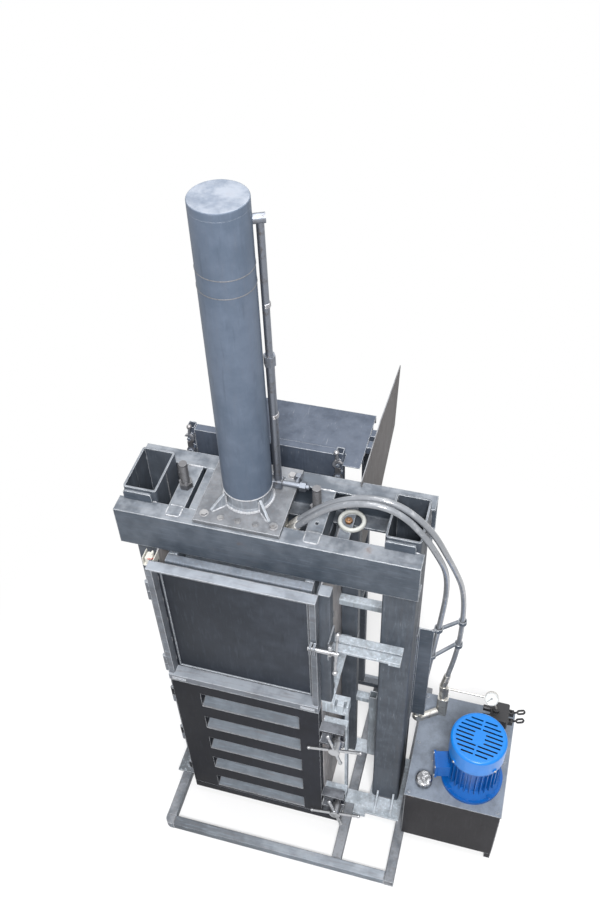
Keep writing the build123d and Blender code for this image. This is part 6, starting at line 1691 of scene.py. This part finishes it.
@dataclass
class LimitSwitch(Dressing):
    """Switch in its bracket, with two loose red wires."""

    exit_offset: Colour = (0.018, 0.012, -0.012)
    second_wire: tuple = (0.006, 0.003)
    wire_radius: float = 0.0012
    steps: int = 6

    def build(self) -> None:
        """Dress the switch and run its wires."""
        Rack.dress(self.nodes, ["limit_switch", "switch_arm"], WHITE_PLASTIC)
        low, high = self.box("limit_switch")
        dx, dy, dz = self.exit_offset
        piece = MeshPiece(3)
        for k, (x, y) in enumerate(((0.0, 0.0), self.second_wire)):
            start = Vector((low.x + dx + x, low.y + dy + y, high.z + dz))
            bends = [start, start + Vector((0.004, -0.008, 0.010)),
                     start + Vector((0.016, -0.006, 0.004 + 0.003 * k)),
                     start + Vector((0.020, 0.010, -0.004)), start + Vector((0.010, 0.024, -0.010))]
            path = smooth(bends, self.steps)
            piece.sweep(path, [self.wire_radius] * len(path), 8)
        piece.place("switch_wires", RED_SLEEVE, Body.FRAME, "switch_white")


@dataclass
class PowerPack(Dressing):
    """Oil tank, motor and pump, breather, valve, gauge, pipe block and hose ports."""

    motor_x: float = 1.054
    motor_y: float = -0.0905
    tank_foot: float = 0.056
    tank_gap: float = 0.006
    gasket: float = 0.0022
    gasket_inset: float = 0.0012
    cowl_radius: float = 0.136
    cowl_screw_z: float = 0.787
    cowl_screw: float = 0.0058
    box_angle: float = 194.0
    box_face: float = 0.190
    box_screw_side: float = 0.037
    box_screw_levels: tuple = (0.578, 0.662)
    box_screw: float = 0.0045
    gauge: Colour = (1.087, 0.200, 0.752)
    gauge_tilt: float = 46.0
    gauge_sweep: float = 270.0
    dial_radius: float = 0.0305
    dial_depth: float = 0.0070
    tick_count: int = 26
    tick_lift: float = 0.0005
    lens_drop: float = 0.0016
    lens_profile: tuple = ((0.0312, -0.0006), (0.0312, 0.0004), (0.028, 0.0010), (0.018, 0.0017),
                           (0.008, 0.0020), (0.001, 0.0021))

    def build(self) -> None:
        """Dress the power pack and add its fine pieces."""
        Rack.dress(self.nodes, ["tank_body", "tank_lid"], PAINT_TANK)
        Rack.dress(self.nodes, ["breather_cap"], CHROME_CAP)
        Rack.dress(self.nodes, ["motor_body"], BLUE_GLOSS)
        Rack.dress(self.nodes, ["fan_cover"], BLUE_COWL)
        Rack.dress(self.nodes, ["motor_fan"], BLACK_PLASTIC)
        Rack.dress(self.nodes, ["pump_unit"], GREY_CAST)
        Rack.dress(self.nodes, ["valve_block", "valve_lever_left", "valve_lever_right"], BLACK_CAST)
        Rack.dress(self.nodes, ["pressure_gauge", "hose_ports", "oil_manifold"], STEEL_FITTING)
        Rack.dress(self.nodes, ["gauge_needle"], DIAL_BLACK)
        self.tank_seams()
        self.motor_screws()
        self.dial()

    def tank_seams(self) -> None:
        """Welded corners of the tank and the gasket below its lid."""
        low, high = self.box("tank_body")
        seams = []
        for x in (low.x, high.x):
            for y in (low.y, high.y):
                seams.append(Seam((x, y, self.tank_foot), (x, y, high.z - self.tank_gap), 0.0022))
        self.seams("tank_welds", seams, slot="tank_paint")
        inset = self.gasket_inset
        left, right = low.x + inset, high.x - inset
        front, rear = low.y + inset, high.y - inset
        rim = [(left, front), (right, front), (right, rear), (left, rear)]
        path = [Vector((x, y, high.z)) for x, y in outline(rim, 24)]
        piece = MeshPiece()
        piece.sweep(path, [self.gasket] * len(path), 6, closed=True)
        piece.place("lid_gasket", BLACK_PLASTIC, Body.FRAME, "tank_paint")

    def motor_screws(self) -> None:
        """Screws of the cowl and of the terminal box's lid."""
        piece = MeshPiece()
        for k in range(4):
            angle = math.radians(45 + 90 * k)
            out = Vector((math.cos(angle), math.sin(angle), 0))
            axle = Vector((self.motor_x, self.motor_y, self.cowl_screw_z))
            self.screw(piece, axle + out * self.cowl_radius, out, self.cowl_screw)
        turn = math.radians(self.box_angle)
        out = Vector((math.cos(turn), math.sin(turn), 0))
        side = Vector((-out.y, out.x, 0))
        face = Vector((self.motor_x, self.motor_y, 0)) + out * self.box_face
        for sign in (-1, 1):
            for z in self.box_screw_levels:
                spot = face + side * (self.box_screw_side * sign) + Vector((0, 0, z))
                self.screw(piece, spot, out, self.box_screw)
        piece.place("motor_screws", STEEL_BOLT, Body.FRAME, "bolt_steel")

    @staticmethod
    def screw(piece: MeshPiece, spot: Vector, axis: Vector, radius: float) -> None:
        """Domed screw head with a washer face."""
        piece.lathe(spot, axis, [(radius * 1.35, -0.0005), (radius * 1.35, 0.0012),
                                 (radius * 1.05, 0.0016), (radius, 0.0040), (radius * 0.8, 0.0052),
                                 (radius * 0.35, 0.0056), (radius * 0.30, 0.0040)], 18)

    def dial(self) -> None:
        """Dial with its ticks, and the lens over the needle."""
        tilt = math.radians(self.gauge_tilt)
        ahead = Vector((0.0, -math.sin(tilt), math.cos(tilt)))
        right = Vector((1.0, 0.0, 0.0))
        centre = Vector(self.gauge) - ahead * (self.dial_depth - 0.0002)
        face = MeshPiece()
        face.lathe(centre, ahead, [(self.dial_radius, 0.0), (self.dial_radius, 0.0003),
                                   (0.004, 0.0004), (0.0025, 0.0004)], 48)
        face.place("gauge_dial", DIAL_WHITE, Body.FRAME, "gauge_case")
        self.ticks(centre + ahead * self.tick_lift, right, ahead.cross(right))
        lens = MeshPiece()
        lens.lathe(Vector(self.gauge) - ahead * self.lens_drop, ahead, self.lens_profile, 48)
        lens.place("gauge_lens", Lens(), Body.FRAME)

    def ticks(self, centre: Vector, right: Vector, up: Vector) -> None:
        """Ticks of the dial, every fifth of them long.

        Args:
            centre: the dial's middle, at the ticks' height.
            right: direction to the dial's right.
            up: direction to the dial's top.
        """
        piece = MeshPiece()
        first = 90 + self.gauge_sweep / 2
        for k in range(self.tick_count):
            angle = math.radians(first - self.gauge_sweep * k / (self.tick_count - 1))
            long = k % 5 == 0
            direction = right * math.cos(angle) + up * math.sin(angle)
            start = centre + direction * (self.dial_radius * (0.74 if long else 0.83))
            end = centre + direction * (self.dial_radius * 0.93)
            width = 0.0006 if long else 0.0003
            piece.sweep([start, start.lerp(end, 0.5), end], [width] * 3, 6, squash=0.4)
        piece.place("gauge_ticks", DIAL_BLACK, Body.FRAME, "needle_black")


def smooth(points: Sequence[Vector], steps: int) -> list[Vector]:
    """Rounded line through points.

    Args:
        points: what the line passes through.
        steps: pieces between two points.

    Returns:
        The line's points.
    """
    line = []
    last = len(points) - 1
    for i in range(last):
        p0, p1 = points[max(i - 1, 0)], points[i]
        p2, p3 = points[i + 1], points[min(i + 2, last)]
        for k in range(steps):
            t = k / steps
            line.append(0.5 * (2 * p1 + (p2 - p0) * t + (2 * p0 - 5 * p1 + 4 * p2 - p3) * t ** 2
                               + (3 * p1 - p0 - 3 * p2 + p3) * t ** 3))
    line.append(points[-1].copy())
    return line


def outline(rim: list[tuple[float, float]], steps: int) -> list[tuple[float, float]]:
    """Points evenly along the sides of a closed flat outline.

    Args:
        rim: the outline's corners in order.
        steps: points on each side.

    Returns:
        The points, from the first corner round.
    """
    points = []
    for (x0, y0), (x1, y1) in zip(rim, rim[1:] + rim[:1]):
        for k in range(steps):
            t = k / steps
            points.append((x0 + (x1 - x0) * t, y0 + (y1 - y0) * t))
    return points


def main() -> None:
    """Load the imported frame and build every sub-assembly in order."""
    logging.basicConfig(level=logging.INFO, format="%(name)s: %(message)s")
    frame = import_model()
    nodes = frame["nodes"]
    Studio().build()
    Hoses().build()
    for part in (BaseFrame, Crosshead, Cylinder, Chamber, UpperDoor, LowerDoor, RearFeed,
                 LimitSwitch, PowerPack):
        part(nodes).build()
        LOG.info("%s done", part.__name__)


if __name__ == "__main__":
    main()
